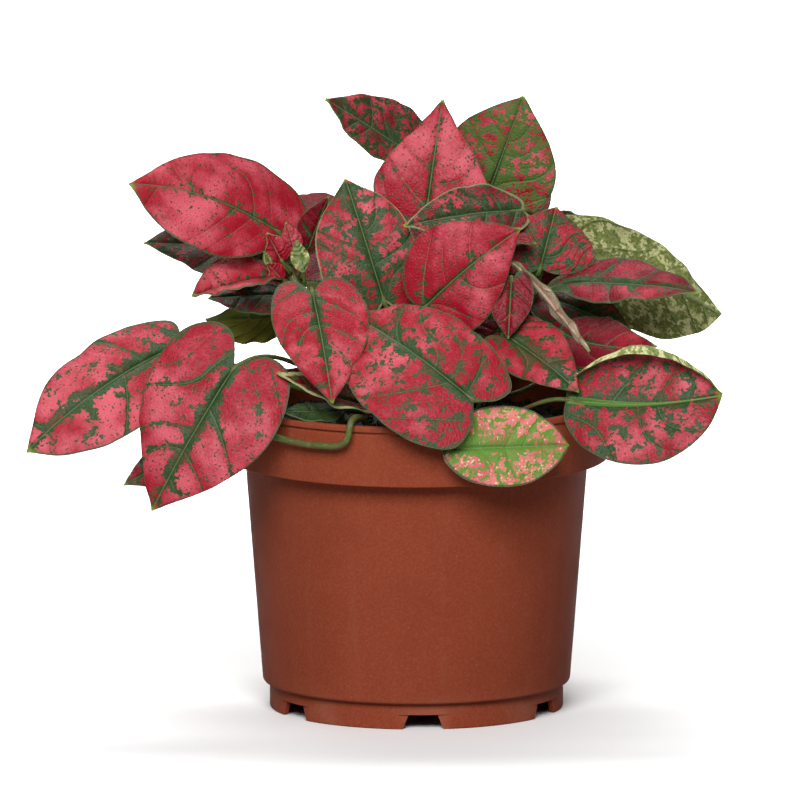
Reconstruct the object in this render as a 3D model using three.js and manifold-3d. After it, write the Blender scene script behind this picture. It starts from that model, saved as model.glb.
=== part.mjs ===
// A polka dot plant in a round plastic nursery pot.
//
// Millimetres, +Z up, -Y is the front. The origin is on the pot's axis, in the plane the foot stands on.
// The pot is one thin moulding, the soil fills it, and the stems are rooted in the soil. Every leaf is one
// solid with its petiole, whose cut foot meets its stem.

import * as THREE from 'three';
import { mergeVertices } from 'three/addons/utils/BufferGeometryUtils.js';
import Module from 'manifold-3d';

const wasm = await Module();
wasm.setup();

// ---------------------------------------------------------------- driving dimensions

const GAP = 0.3; // clearance between neighbours
const SIDES = 48; // facets of a round part

const POT = {
  height: 97,
  lipRadius: 60,
  collarRadius: 59.2,
  collarHeight: 19,
  lipHeight: 2,
  lipStep: 0.6, // how far the lip's inside stands in from the wall
  softening: 0.5, // bevel on the moulding's outer edges
  bodyTopRadius: 52.8,
  bodyBottomRadius: 47.2,
  footRadius: 45.1,
  footHeight: 8.1,
  corner: { radius: 2.2, facets: 3 }, // rounding between the body and the foot
  wall: 1.2,
  footWall: 1.8,
  floorTop: 6.6,
  padRadius: 12, // flat pad under the middle of the floor, level with the foot
};

// Drainage notches in the foot. Each is a through cut in a wider, shallower cut of the same height.
const NOTCH = {
  count: 6,
  firstAngle: -87.4, // degrees from +X, just right of the front
  height: 4.6,
  through: { topAngle: 11.4, bottomAngle: 17 },
  recess: { topAngle: 27, bottomAngle: 31, depth: 0.8 },
};

// Drain holes through the floor, one behind each notch.
const DRAIN = { circle: 33, radius: 3.4, facets: 12 };

// Top of the soil: its height at the pot's wall, and how much higher it is in the middle.
const SOIL = { edge: 86.3, crown: 1.2 };

const STEM_SIDES = 8;
const STEM_STEPS = 3; // sections between two points of a stem's route
const PETIOLE = { radius: 0.8, steps: 4, stepsPerVia: 2, reach: 0.35 };
const BLADE_THICKNESS = 0.8;

// Outlines of a leaf blade: how far along the blade and how wide each side is, from the petiole round the
// base and out to the tip. Both run from 0 to 1; a negative first value is a lobe behind the petiole.
const OUTLINES = {
  ovate: [[0, 0], [-0.02, 0.36], [0.12, 0.78], [0.35, 1], [0.6, 0.84], [0.82, 0.44], [1, 0]],
  heart: [[0, 0], [-0.15, 0.32], [-0.12, 0.72], [0.1, 0.97], [0.38, 0.98], [0.68, 0.64], [1, 0]],
  blunt: [[0, 0], [0.02, 0.36], [0.16, 0.76], [0.4, 1], [0.66, 0.92], [0.88, 0.52], [1, 0]],
  lobed: [[0, 0], [-0.17, 0.3], [-0.17, 0.68], [0, 1], [0.34, 1], [0.68, 0.62], [1, 0]],
  broad: [[0, 0], [-0.1, 0.3], [-0.1, 0.68], [0.1, 0.95], [0.36, 1], [0.68, 0.82], [1, 0]],
  tapered: [[0, 0], [-0.05, 0.38], [0.04, 0.84], [0.22, 1], [0.48, 0.76], [0.76, 0.34], [1, 0]],
  narrow: [[0, 0], [0.04, 0.3], [0.2, 0.75], [0.42, 1], [0.64, 0.82], [0.84, 0.42], [1, 0]],
};

// Stems: radius, and centre line from the root up.
const STEMS = {
  stem_left: {
    radius: 1.4,
    route: [[-22, -12, 79], [-25, -12, 100], [-33, -11, 125], [-40, -8, 139], [-43, -5, 148]],
  },
  stem_middle: {
    radius: 1.5,
    route: [[3, 2, 79], [4, 0, 105], [4, -2, 130], [6, 3, 152], [9, 10, 168]],
  },
  stem_right: {
    radius: 1.4,
    route: [[17, 2, 79], [24, -1, 100], [33, -5, 122], [38, -4, 138], [40, 2, 150]],
  },
  stem_front: {
    radius: 1.3,
    route: [[16, -26, 79], [20, -32, 98], [25, -30, 109], [27, -24, 122], [26, -20, 134]],
  },
  stem_trailing: {
    radius: 1.1,
    route: [[-13, -34, 80], [-16, -48, 97], [-20, -57.5, 98.7], [-22, -58.5, 92], [-31, -54, 90.5],
      [-43, -46, 91.5], [-58, -32, 94], [-68, -22, 98]],
  },
  stem_back_left: {
    radius: 1.4,
    route: [[-12, 20, 79], [-18, 28, 105], [-22, 34, 128], [-22, 38, 145]],
  },
  stem_back_right: {
    radius: 1.4,
    route: [[14, 22, 79], [20, 30, 105], [26, 36, 126], [28, 38, 142]],
  },
};

// Leaves. stem, at: the stem, and how far up it the petiole is seated. base, tip: the ends of the blade.
// face: the way the upper side looks. wide: half widths left and right of the midrib, seen on the upper side
// with the tip pointing up. Optional: arch, the midrib's rise; sway, its bend to the right; peak, where both
// are greatest; fold, the slope in degrees of both halves up from the midrib; curl, the further turn of the
// left and right half by the margin; via, points that the petiole passes.
const LEAVES = {
  leaf_far_left: {
    stem: 'stem_trailing', at: 0.98, outline: ['blunt', 'broad'],
    base: [-75, -21, 115], tip: [-120, -46, 87],
    face: [-0.2, -0.8, 0.55], wide: [18.5, 15], arch: 4, sway: 1, curl: [-10, -10],
  },
  leaf_front_left_heart: {
    stem: 'stem_left', at: 0.35, outline: ['heart', 'lobed'], base: [-56, -43, 113], tip: [-81.5, -51, 69.4],
    face: [-0.15, -0.9, 0.4], wide: [22, 21.5], arch: 3, curl: [-12, -12],
    via: [[-42.6, -30, 113.6], [-49.7, -38, 115]],
  },
  leaf_upper_left: {
    stem: 'stem_left', at: 0.95, outline: ['blunt', 'lobed'],
    base: [-42.5, -9, 149], tip: [-88.5, -22, 166.5],
    face: [-0.1, -0.75, 0.65], wide: [19, 18.5], arch: 3, sway: 2.5, curl: [-10, -10],
  },
  leaf_left_dark: {
    stem: 'stem_left', at: 0.85, outline: ['tapered', 'ovate'], base: [-48, 6, 142], tip: [-84, 7, 143],
    face: [-0.1, -0.6, 0.8], wide: [16, 12],
  },
  leaf_left_two_tone: {
    stem: 'stem_left', at: 0.78, outline: 'ovate', base: [-43, -14, 136], tip: [-69, -32, 133],
    face: [-0.1, -0.5, 0.85], wide: [9, 10], sway: 1.5, fold: 24,
  },
  leaf_left_below: {
    stem: 'stem_left', at: 0.68, outline: 'ovate', base: [-40, -4, 129], tip: [-64, -12, 129],
    face: [-0.1, -0.5, 0.85], wide: [10, 10],
  },
  leaf_left_underside: {
    stem: 'stem_left', at: 0.6, outline: 'ovate', base: [-36, 12, 120], tip: [-65, -4, 121],
    face: [-0.1, 0.8, 0.6], wide: [8, 13],
  },
  leaf_hanging_red: {
    stem: 'stem_left', at: 0.64, outline: 'heart', base: [-32, -34, 134.5], tip: [-26, -60, 104.5],
    face: [0.05, -0.75, 0.66], wide: [15.5, 14], arch: 3, curl: [-14, -14],
  },
  leaf_curled_edge: {
    stem: 'stem_middle', at: 0.2, outline: 'narrow', base: [-8, -39, 99], tip: [-43, -47, 112],
    face: [-0.05, -0.35, 0.93], wide: [12, 9], arch: -2, fold: 16,
  },
  leaf_front_big: {
    stem: 'stem_front', at: 0.3, outline: 'broad', base: [17.5, -61, 105.6], tip: [-20, -36.4, 128],
    face: [0.1, -0.86, 0.5], wide: [24, 17.8], arch: 4, curl: [-10, -10],
    via: [[23, -50, 105.5], [21.5, -58.5, 105.6]],
  },
  leaf_middle_right_tip: {
    stem: 'stem_middle', at: 0.45, outline: ['ovate', 'heart'], base: [2, -31, 129], tip: [32, -31, 154],
    face: [0.1, -0.95, 0.3], wide: [17.5, 15.5], sway: -1, arch: 2, curl: [-10, -15],
  },
  leaf_upright_mottled: {
    stem: 'stem_middle', at: 0.52, outline: 'broad', base: [-10, -23, 130], tip: [-22, -13, 166.6],
    face: [0.05, -0.95, 0.3], wide: [16.2, 14.6], arch: 2, curl: [-10, -10],
  },
  leaf_top_pink: {
    stem: 'stem_middle', at: 0.82, outline: 'tapered', base: [3, -10, 155], tip: [8, 4, 188],
    face: [0, -0.85, 0.5], wide: [17.5, 18.5], arch: 2, curl: [-12, -12],
  },
  leaf_top_left: {
    stem: 'stem_middle', at: 0.97, outline: ['narrow', 'heart'], base: [0, 14, 169], tip: [-28, 6, 188],
    face: [-0.1, -0.6, 0.8], wide: [10.5, 15],
  },
  leaf_top_right: {
    stem: 'stem_middle', at: 0.92, outline: ['ovate', 'heart'], base: [22, 14, 157], tip: [33, 14, 187.5],
    face: [0.1, -0.9, 0.4], wide: [17, 18.2],
  },
  leaf_top_flat: {
    stem: 'stem_right', at: 0.97, outline: 'ovate', base: [33, -9, 156], tip: [-4, -27, 154],
    face: [0, -0.75, 0.66], wide: [10.5, 10.5], arch: 2,
  },
  leaf_narrow_red: {
    stem: 'stem_middle', at: 0.72, outline: 'narrow', base: [14, -15, 151], tip: [37, -23, 148],
    face: [0.1, -0.25, 0.96], wide: [8, 7],
  },
  leaf_right_mottled: {
    stem: 'stem_right', at: 0.78, outline: ['lobed', 'ovate'], base: [38, -16, 139], tip: [43, -9, 157],
    face: [0.1, -0.85, 0.5], wide: [15, 15.5],
  },
  leaf_right_long: {
    stem: 'stem_right', at: 0.7, outline: 'narrow', base: [40, -19, 133], tip: [87, -38, 135],
    face: [0, -0.5, 0.85], wide: [11, 10], sway: -4.5, peak: 0.35,
  },
  leaf_right_pale: {
    stem: 'stem_right', at: 0.85, outline: ['blunt', 'heart'], base: [47, 5, 141], tip: [94, -12, 124],
    face: [0.1, 0.9, 0.4], wide: [20.5, 15], arch: 3,
  },
  leaf_right_crimson: {
    stem: 'stem_right', at: 0.45, outline: 'ovate', base: [44, -14, 119], tip: [74, -28, 117],
    face: [0.1, -0.7, 0.7], wide: [11, 10], sway: 3,
  },
  leaf_right_dull: {
    stem: 'stem_right', at: 0.55, outline: 'ovate', base: [37, 8, 127.3], tip: [66, -9.5, 118.6],
    face: [0, -0.6, 0.8], wide: [9.6, 11],
  },
  leaf_right_edge: {
    stem: 'stem_right', at: 0.93, outline: 'narrow', base: [41, 8, 152], tip: [55, 6, 149],
    face: [0.1, 0.5, 0.87], wide: [6, 6],
  },
  leaf_front_right: {
    stem: 'stem_front', at: 0.33, outline: 'blunt', base: [46, -44, 103], tip: [94, -50, 105.4],
    face: [0.05, -0.85, 0.5], wide: [25, 19.5], sway: 2.2, curl: [195, -10],
  },
  leaf_arched: {
    stem: 'stem_front', at: 0.97, outline: 'narrow', base: [29.4, -25, 142.8], tip: [53.2, -42.4, 117.6],
    face: [0.3, 0.5, 0.8], wide: [8, 8], arch: 1, peak: 0.3,
  },
  leaf_small_crimson: {
    stem: 'stem_front', at: 0.9, outline: 'heart', base: [29.2, -30.4, 138], tip: [28.2, -38, 121],
    face: [0, -0.85, 0.5], wide: [7, 7],
  },
  leaf_mid_right_pink: {
    stem: 'stem_front', at: 0.7, outline: 'heart', base: [28, -34, 121], tip: [50, -48, 106],
    face: [0.2, -0.8, 0.55], wide: [12, 10.5], arch: 1.5,
  },
  leaf_in_shade: {
    stem: 'stem_front', at: 0.85, outline: 'ovate', base: [26, -19, 121], tip: [10, -24, 107],
    face: [-0.1, -0.8, 0.6], wide: [9, 9],
  },
  leaf_low_front: {
    stem: 'stem_front', at: 0.22, outline: 'blunt', base: [8, -63.5, 91], tip: [47, -57, 91],
    face: [0.05, -0.93, 0.37], wide: [13, 12.5], via: [[14, -50, 100], [8, -58.6, 98.8], [4, -62.4, 94]],
  },
  leaf_over_rim_green: {
    stem: 'stem_middle', at: 0.12, outline: 'narrow', base: [-22, -40, 98.5], tip: [-42, -46, 99.5],
    face: [0, -0.3, 0.95], wide: [7, 6],
  },
  leaf_low_left_tip: {
    stem: 'stem_trailing', at: 0.9, outline: 'narrow', base: [-67, -26, 86], tip: [-90, -34, 74.6],
    face: [-0.2, -0.8, 0.55], wide: [8.5, 6.5],
  },
  leaf_shoot_pink: {
    stem: 'stem_left', at: 0.86, outline: 'narrow', base: [-37, -12, 142], tip: [-40, -14, 153],
    face: [0.2, -0.9, 0.3], wide: [3.5, 3.5],
  },
  leaf_shoot_dark: {
    stem: 'stem_left', at: 0.8, outline: 'narrow', base: [-34, -8, 142], tip: [-27, -12, 161],
    face: [-0.3, -0.8, 0.4], wide: [6, 6], fold: 30,
  },
  leaf_shoot_mauve: {
    stem: 'stem_left', at: 0.9, outline: 'narrow', base: [-47, -4, 139], tip: [-57, -9, 147],
    face: [0, 0.8, 0.5], wide: [4, 4],
  },
  leaf_shoot_twisted: {
    stem: 'stem_left', at: 0.74, outline: 'narrow', base: [-35, -16, 138], tip: [-37, -17, 148],
    face: [-0.3, 0.9, 0.2], wide: [3, 3],
  },
  leaf_back_1: {
    stem: 'stem_back_left', at: 0.95, outline: 'heart', base: [-29, 46, 147.5], tip: [-60, 66, 139],
    face: [-0.4, 0.3, 0.9], wide: [16, 16], arch: 4,
  },
  leaf_back_2: {
    stem: 'stem_back_left', at: 0.97, outline: 'heart', base: [-8, 44, 139], tip: [2, 78, 147],
    face: [0, 0.6, 0.8], wide: [16, 16], arch: 4,
  },
  leaf_back_3: {
    stem: 'stem_back_left', at: 0.74, outline: 'ovate', base: [-34, 38, 130], tip: [-66, 46, 124],
    face: [-0.4, 0.4, 0.8], wide: [14, 15], arch: 3,
  },
  leaf_back_4: {
    stem: 'stem_back_left', at: 0.64, outline: 'heart', base: [-16, 50, 124], tip: [-24, 88, 106],
    face: [-0.1, 0.6, 0.8], wide: [18, 17], arch: 5,
  },
  leaf_back_5: {
    stem: 'stem_back_left', at: 0.4, outline: 'heart', base: [-20, 50, 104], tip: [-32, 84, 86],
    face: [-0.2, 0.7, 0.7], wide: [16, 16], arch: 4,
  },
  leaf_back_6: {
    stem: 'stem_back_right', at: 0.95, outline: 'heart', base: [35, 44, 142], tip: [64, 60, 128],
    face: [0.4, 0.4, 0.8], wide: [15, 15], arch: 4,
  },
  leaf_back_7: {
    stem: 'stem_back_right', at: 0.97, outline: 'heart', base: [26, 46, 148], tip: [22, 82, 154],
    face: [0.1, 0.6, 0.8], wide: [16, 16], arch: 4,
  },
  leaf_back_8: {
    stem: 'stem_back_right', at: 0.7, outline: 'ovate', base: [38, 42, 124], tip: [70, 52, 112],
    face: [0.4, 0.5, 0.8], wide: [14, 14], arch: 3,
  },
  leaf_back_9: {
    stem: 'stem_back_right', at: 0.62, outline: 'heart', base: [22, 52, 120], tip: [30, 88, 104],
    face: [0.1, 0.6, 0.8], wide: [17, 17], arch: 5,
  },
  leaf_back_10: {
    stem: 'stem_back_right', at: 0.42, outline: 'heart', base: [34, 48, 106], tip: [60, 68, 86],
    face: [0.4, 0.6, 0.7], wide: [15, 15], arch: 4,
  },
  leaf_back_11: {
    stem: 'stem_back_right', at: 0.25, outline: 'ovate', base: [2, 54, 106], tip: [0, 88, 88],
    face: [0, 0.7, 0.7], wide: [14, 14], arch: 3,
  },
  leaf_back_12: {
    stem: 'stem_middle', at: 0.88, outline: 'heart', base: [8, 24, 161], tip: [6, 58, 168],
    face: [0, 0.5, 0.87], wide: [15, 15], arch: 4,
  },
  leaf_side_left: {
    stem: 'stem_left', at: 0.28, outline: 'heart', base: [-50, 12, 100], tip: [-84, 30, 84],
    face: [-0.5, 0.1, 0.85], wide: [16, 16], arch: 5,
  },
  leaf_side_right: {
    stem: 'stem_right', at: 0.25, outline: 'heart', base: [54, 12, 106], tip: [88, 26, 90],
    face: [0.5, 0, 0.87], wide: [16, 16], arch: 5,
  },
  leaf_side_right_back: {
    stem: 'stem_right', at: 0.4, outline: 'ovate', base: [42, 24, 114], tip: [72, 46, 98],
    face: [0.5, 0.3, 0.8], wide: [15, 15], arch: 4,
  },
  leaf_inner_back: {
    stem: 'stem_middle', at: 0.6, outline: 'broad', base: [-8, 9, 137], tip: [-46, 12, 136],
    face: [-0.2, -0.5, 0.85], wide: [15, 14], arch: 4,
  },
};

const LOOKS = {
  pot: { color: 0x8f4632, roughness: 0.5 },
  soil: { color: 0x17120f, roughness: 1 },
  stem: { color: 0x4d6b24, roughness: 0.6 },
  leaf: { color: 0xc24a58, roughness: 0.55 },
};

// ---------------------------------------------------------------- closed solids and their booleans

const radians = THREE.MathUtils.degToRad;

function solid(geometry) {
  const bare = geometry.clone();
  bare.deleteAttribute('normal');
  bare.deleteAttribute('uv');
  const merged = mergeVertices(bare, 1e-4);
  return new wasm.Manifold(new wasm.Mesh({
    numProp: 3,
    vertProperties: new Float32Array(merged.attributes.position.array),
    triVerts: new Uint32Array(merged.index.array),
  }));
}

function geometryOf(manifold) {
  const mesh = manifold.getMesh();
  const geometry = new THREE.BufferGeometry();
  geometry.setAttribute('position', new THREE.BufferAttribute(mesh.vertProperties, 3));
  geometry.setIndex(new THREE.BufferAttribute(mesh.triVerts, 1));
  return geometry;
}

function part(name, geometry, look) {
  geometry.computeVertexNormals();
  const mesh = new THREE.Mesh(geometry, new THREE.MeshStandardMaterial({ ...look, metalness: 0 }));
  mesh.name = name;
  return mesh;
}

// Turns a profile of [radius, height] points about the Z axis.
function turned(profile) {
  const points = profile.map(([r, z]) => new THREE.Vector2(r, z));
  return new THREE.LatheGeometry(points, SIDES).rotateX(Math.PI / 2);
}

// ---------------------------------------------------------------- pot

const COLLAR_BOTTOM = POT.height - POT.collarHeight;
const CORNER_TOP = POT.footHeight + POT.corner.radius;

function cornerPoints() {
  const { radius, facets } = POT.corner;
  const points = [];
  for (let step = 1; step <= facets; step++) {
    const angle = (step / facets) * Math.PI / 2;
    const r = POT.bodyBottomRadius - radius + radius * Math.sin(angle);
    const z = CORNER_TOP - radius * Math.cos(angle);
    points.push([r, z]);
  }
  return points;
}

function potProfile() {
  const { softening, wall } = POT;
  const floorUnder = POT.floorTop - wall;
  const lipBottom = POT.height - POT.lipHeight;
  return [
    [0, 0],
    [POT.padRadius, 0],
    [POT.padRadius + 1, floorUnder],
    [POT.footRadius - POT.footWall, floorUnder],
    [POT.footRadius - POT.footWall, 0],
    [POT.footRadius - softening, 0],
    [POT.footRadius, softening],
    [POT.footRadius, POT.footHeight],
    ...cornerPoints(),
    [POT.bodyTopRadius, COLLAR_BOTTOM],
    [POT.collarRadius - softening, COLLAR_BOTTOM],
    [POT.collarRadius, COLLAR_BOTTOM + softening],
    [POT.lipRadius - softening, lipBottom],
    [POT.lipRadius, lipBottom + softening],
    [POT.lipRadius, POT.height - softening],
    [POT.lipRadius - softening, POT.height],
    [POT.lipRadius - wall - POT.lipStep, POT.height],
    [POT.collarRadius - wall, COLLAR_BOTTOM + wall],
    [POT.bodyTopRadius - wall, COLLAR_BOTTOM + wall],
    [POT.bodyBottomRadius - wall, CORNER_TOP],
    [POT.footRadius - wall, POT.floorTop],
    [POT.padRadius, POT.floorTop],
    [POT.padRadius - 1, wall],
    [0, wall],
  ];
}

// A cut up into the foot that is wider at the bottom, reaching out from an inner radius.
function notchCut(angle, { topAngle, bottomAngle }, innerRadius) {
  const top = POT.footRadius * Math.sin(radians(topAngle / 2));
  const bottom = POT.footRadius * Math.sin(radians(bottomAngle / 2));
  const below = 1;
  const beyond = 2;
  const outline = new THREE.Shape([
    new THREE.Vector2(-bottom, -below),
    new THREE.Vector2(bottom, -below),
    new THREE.Vector2(top, NOTCH.height),
    new THREE.Vector2(-top, NOTCH.height),
  ]);
  const depth = POT.footRadius + beyond - innerRadius;
  return new THREE.ExtrudeGeometry(outline, { depth, bevelEnabled: false })
    .rotateX(Math.PI / 2)
    .translate(0, innerRadius + depth, 0)
    .rotateZ(radians(angle - 90));
}

function pot() {
  let body = solid(turned(potProfile()));
  for (let index = 0; index < NOTCH.count; index++) {
    const angle = NOTCH.firstAngle + (360 / NOTCH.count) * index;
    const hole = new THREE.CylinderGeometry(DRAIN.radius, DRAIN.radius, 4 * POT.wall, DRAIN.facets)
      .rotateX(Math.PI / 2)
      .translate(DRAIN.circle, 0, POT.floorTop)
      .rotateZ(radians(angle));
    body = body
      .subtract(solid(notchCut(angle, NOTCH.through, POT.footRadius - 2 * POT.footWall)))
      .subtract(solid(notchCut(angle, NOTCH.recess, POT.footRadius - NOTCH.recess.depth)))
      .subtract(solid(hole));
  }
  return part('pot', geometryOf(body), LOOKS.pot);
}

// ---------------------------------------------------------------- stems and soil

function stemCurve({ route }) {
  return new THREE.CatmullRomCurve3(route.map((point) => new THREE.Vector3(...point)));
}

function stemGeometry(stem, extra = 0) {
  const radius = stem.radius + extra;
  const corners = [];
  for (let side = 0; side < STEM_SIDES; side++) {
    const angle = (side / STEM_SIDES) * 2 * Math.PI;
    corners.push(new THREE.Vector2(radius * Math.cos(angle), radius * Math.sin(angle)));
  }
  const section = new THREE.Shape(corners);
  const steps = STEM_STEPS * (stem.route.length - 1);
  return new THREE.ExtrudeGeometry(section, { steps, extrudePath: stemCurve(stem), bevelEnabled: false });
}

// The same stem with clearance round it and under its root.
function stemRoom(stem) {
  const [[x, y, z], ...rest] = stem.route;
  return solid(stemGeometry({ ...stem, route: [[x, y, z - GAP], ...rest] }, GAP));
}

// How far from the axis the inside of the collar is at a height.
function collarInside(height) {
  const bottom = COLLAR_BOTTOM + POT.wall;
  const slope = (POT.lipRadius - POT.lipStep - POT.collarRadius) / (POT.height - bottom);
  return POT.collarRadius - POT.wall + slope * (height - bottom);
}

function soil() {
  const { wall } = POT;
  const edgeRadius = collarInside(SOIL.edge) - GAP;
  let body = solid(turned([
    [0, wall + GAP],
    [POT.padRadius - 1 - GAP, wall + GAP],
    [POT.padRadius - GAP, POT.floorTop + GAP],
    [POT.footRadius - wall - GAP, POT.floorTop + GAP],
    [POT.bodyBottomRadius - wall - GAP, CORNER_TOP + GAP],
    [POT.bodyTopRadius - wall - GAP, COLLAR_BOTTOM + wall + GAP],
    [POT.collarRadius - wall - GAP, COLLAR_BOTTOM + wall + GAP],
    [edgeRadius, SOIL.edge],
    [edgeRadius / 2, SOIL.edge + SOIL.crown * 0.75],
    [0, SOIL.edge + SOIL.crown],
  ]));
  for (const stem of Object.values(STEMS)) {
    body = body.subtract(stemRoom(stem));
  }
  return part('soil', geometryOf(body), LOOKS.soil);
}

// ---------------------------------------------------------------- leaves

// Rises from 0 to 1 at the peak and falls back to 0 at the tip.
function bow(along, peak) {
  const span = along < peak ? peak : 1 - peak;
  return 1 - ((along - peak) / span) ** 2;
}

// The middle vein and the frame that goes with it. Behind the petiole it carries on straight.
function midrib(leaf) {
  const base = new THREE.Vector3(...leaf.base);
  const chord = new THREE.Vector3(...leaf.tip).sub(base);
  const side = chord.clone().cross(new THREE.Vector3(...leaf.face)).normalize();
  const up = side.clone().cross(chord).normalize();
  const { arch = 0, sway = 0, peak = 0.5 } = leaf;
  const bend = up.clone().multiplyScalar(arch).addScaledVector(side, sway);
  const slope = (along) => {
    const span = along < peak ? peak : 1 - peak;
    const rate = -2 * (along - peak) / span ** 2;
    return chord.clone().addScaledVector(bend, rate);
  };
  return (along) => {
    const inside = Math.max(along, 0);
    const point = base.clone().addScaledVector(chord, inside).addScaledVector(bend, bow(inside, peak));
    const forward = slope(inside);
    point.addScaledVector(forward, along - inside);
    forward.normalize();
    const right = side.clone().addScaledVector(forward, -side.dot(forward)).normalize();
    return { point, forward, right, up: right.clone().cross(forward) };
  };
}

// How far out and how high a point of the cross-section lies, going the given share of the half width.
function crossSection(halfWidth, share, fold, curl) {
  const pieces = 6;
  const length = halfWidth * share / pieces;
  let out = 0;
  let rise = 0;
  for (let piece = 0; piece < pieces; piece++) {
    const middle = share * (piece + 0.5) / pieces;
    const angle = radians(fold + curl * middle ** 3);
    out += length * Math.cos(angle);
    rise += length * Math.sin(angle);
  }
  return { out, rise };
}

// One ring of the leaf's skin: margin, upper side, other margin, underside.
const RING = [
  { side: 1, share: 1, skin: 0 },
  { side: 1, share: 0.5, skin: 1 },
  { side: 1, share: 0, skin: 1 },
  { side: -1, share: 0.5, skin: 1 },
  { side: -1, share: 1, skin: 0 },
  { side: -1, share: 0.5, skin: -1 },
  { side: 1, share: 0, skin: -1 },
  { side: 1, share: 0.5, skin: -1 },
];
const BLADE_STATIONS = [0.09, 0.24, 0.4, 0.56, 0.72, 0.86, 0.95];

function outlineCurve(kind) {
  return new THREE.SplineCurve(OUTLINES[kind].map((point) => new THREE.Vector2(...point)));
}

function bladeRings(leaf) {
  const rib = midrib(leaf);
  const [left, right] = leaf.wide;
  const { fold = 0, curl = [0, 0] } = leaf;
  const [leftKind, rightKind = leftKind] = [leaf.outline].flat();
  const halves = {
    [-1]: { outline: outlineCurve(leftKind), width: left, turn: curl[0] },
    [1]: { outline: outlineCurve(rightKind), width: right, turn: curl[1] },
  };
  return BLADE_STATIONS.map((station) => {
    return RING.map(({ side, share, skin }) => {
      const { outline, width, turn } = halves[side];
      const edge = outline.getPoint(station);
      const { point, right: across, up } = rib(station + (edge.x - station) * share);
      const { out, rise } = crossSection(edge.y * width, share, fold, turn);
      const half = skin * BLADE_THICKNESS / 2;
      return point.addScaledVector(across, side * out).addScaledVector(up, rise + half);
    });
  });
}

// The petiole leaves its stem at a right angle and runs into the midrib.
function petiole(leaf) {
  const stem = STEMS[leaf.stem];
  const curve = stemCurve(stem);
  const node = curve.getPointAt(leaf.at);
  const along = curve.getTangentAt(leaf.at);
  const base = new THREE.Vector3(...leaf.base);
  const via = (leaf.via ?? []).map((point) => new THREE.Vector3(...point));
  const steps = PETIOLE.steps + PETIOLE.stepsPerVia * via.length;
  const away = (via[0] ?? base).clone().sub(node);
  away.addScaledVector(along, -away.dot(along)).normalize();
  const foot = node.clone().addScaledVector(away, stem.radius + GAP);
  if (via.length) {
    return { path: new THREE.CatmullRomCurve3([foot, ...via, base]), away, foot, steps };
  }
  const reach = PETIOLE.reach * foot.distanceTo(base);
  const leaving = foot.clone().addScaledVector(away, reach);
  const arriving = base.clone().addScaledVector(midrib(leaf)(0).forward, -reach);
  return { path: new THREE.CubicBezierCurve3(foot, leaving, arriving, base), away, foot, steps };
}

// Rings square to the petiole, turned as little as possible from one to the next.
function petioleRings(leaf, { path, away, steps }) {
  let across = midrib(leaf)(0).right;
  const rings = [];
  for (let step = steps; step >= 0; step--) {
    const centre = path.getPoint(step / steps);
    const forward = step ? path.getTangent(step / steps) : away;
    across = across.clone().addScaledVector(forward, -across.dot(forward)).normalize();
    const up = across.clone().cross(forward);
    const ring = RING.map((corner, index) => {
      const angle = (index / RING.length) * 2 * Math.PI;
      return centre.clone()
        .addScaledVector(across, PETIOLE.radius * Math.cos(angle))
        .addScaledVector(up, PETIOLE.radius * Math.sin(angle));
    });
    rings.unshift(ring);
  }
  return rings;
}

// Skins a row of rings and closes it with a flat foot and a pointed tip.
function skinned(rings, footCentre, tipPoint) {
  const count = RING.length;
  const positions = [...rings.flat(), footCentre, tipPoint].flatMap((point) => point.toArray());
  const foot = rings.length * count;
  const tip = foot + 1;
  const last = (rings.length - 1) * count;
  const index = [];
  for (let k = 0; k < count; k++) {
    const next = (k + 1) % count;
    index.push(foot, k, next);
    index.push(tip, last + next, last + k);
    for (let ring = 0; ring < rings.length - 1; ring++) {
      const here = ring * count;
      const there = here + count;
      if (k < count / 2) {
        index.push(here + k, there + k, here + next);
        index.push(here + next, there + k, there + next);
      } else {
        index.push(here + k, there + k, there + next);
        index.push(here + k, there + next, here + next);
      }
    }
  }
  const geometry = new THREE.BufferGeometry();
  geometry.setAttribute('position', new THREE.Float32BufferAttribute(positions, 3));
  geometry.setIndex(index);
  return geometry;
}

// The leaf is placed by the base of its blade, where it joins its petiole.
function leafPart(name, leaf) {
  const stalk = petiole(leaf);
  const rings = [...petioleRings(leaf, stalk), ...bladeRings(leaf)];
  const [x, y, z] = leaf.base;
  const geometry = skinned(rings, stalk.foot, new THREE.Vector3(...leaf.tip)).translate(-x, -y, -z);
  const mesh = part(name, geometry, LOOKS.leaf);
  mesh.position.set(x, y, z);
  return mesh;
}

// ---------------------------------------------------------------- the plant

const plant = new THREE.Group();
plant.add(pot(), soil());
for (const [name, stem] of Object.entries(STEMS)) {
  plant.add(part(name, stemGeometry(stem), LOOKS.stem));
}
for (const [name, leaf] of Object.entries(LEAVES)) {
  plant.add(leafPart(name, leaf));
}

export default plant;
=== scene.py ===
"""A potted polka dot plant: a moulded plastic nursery pot, its soil, the stems and the patterned leaves.

Everything is in metres in the frame's own axes: +Z up, -Y to the front, the origin on the pot's axis in the
plane that its foot stands on. The tables below are in millimetres.
"""

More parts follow.
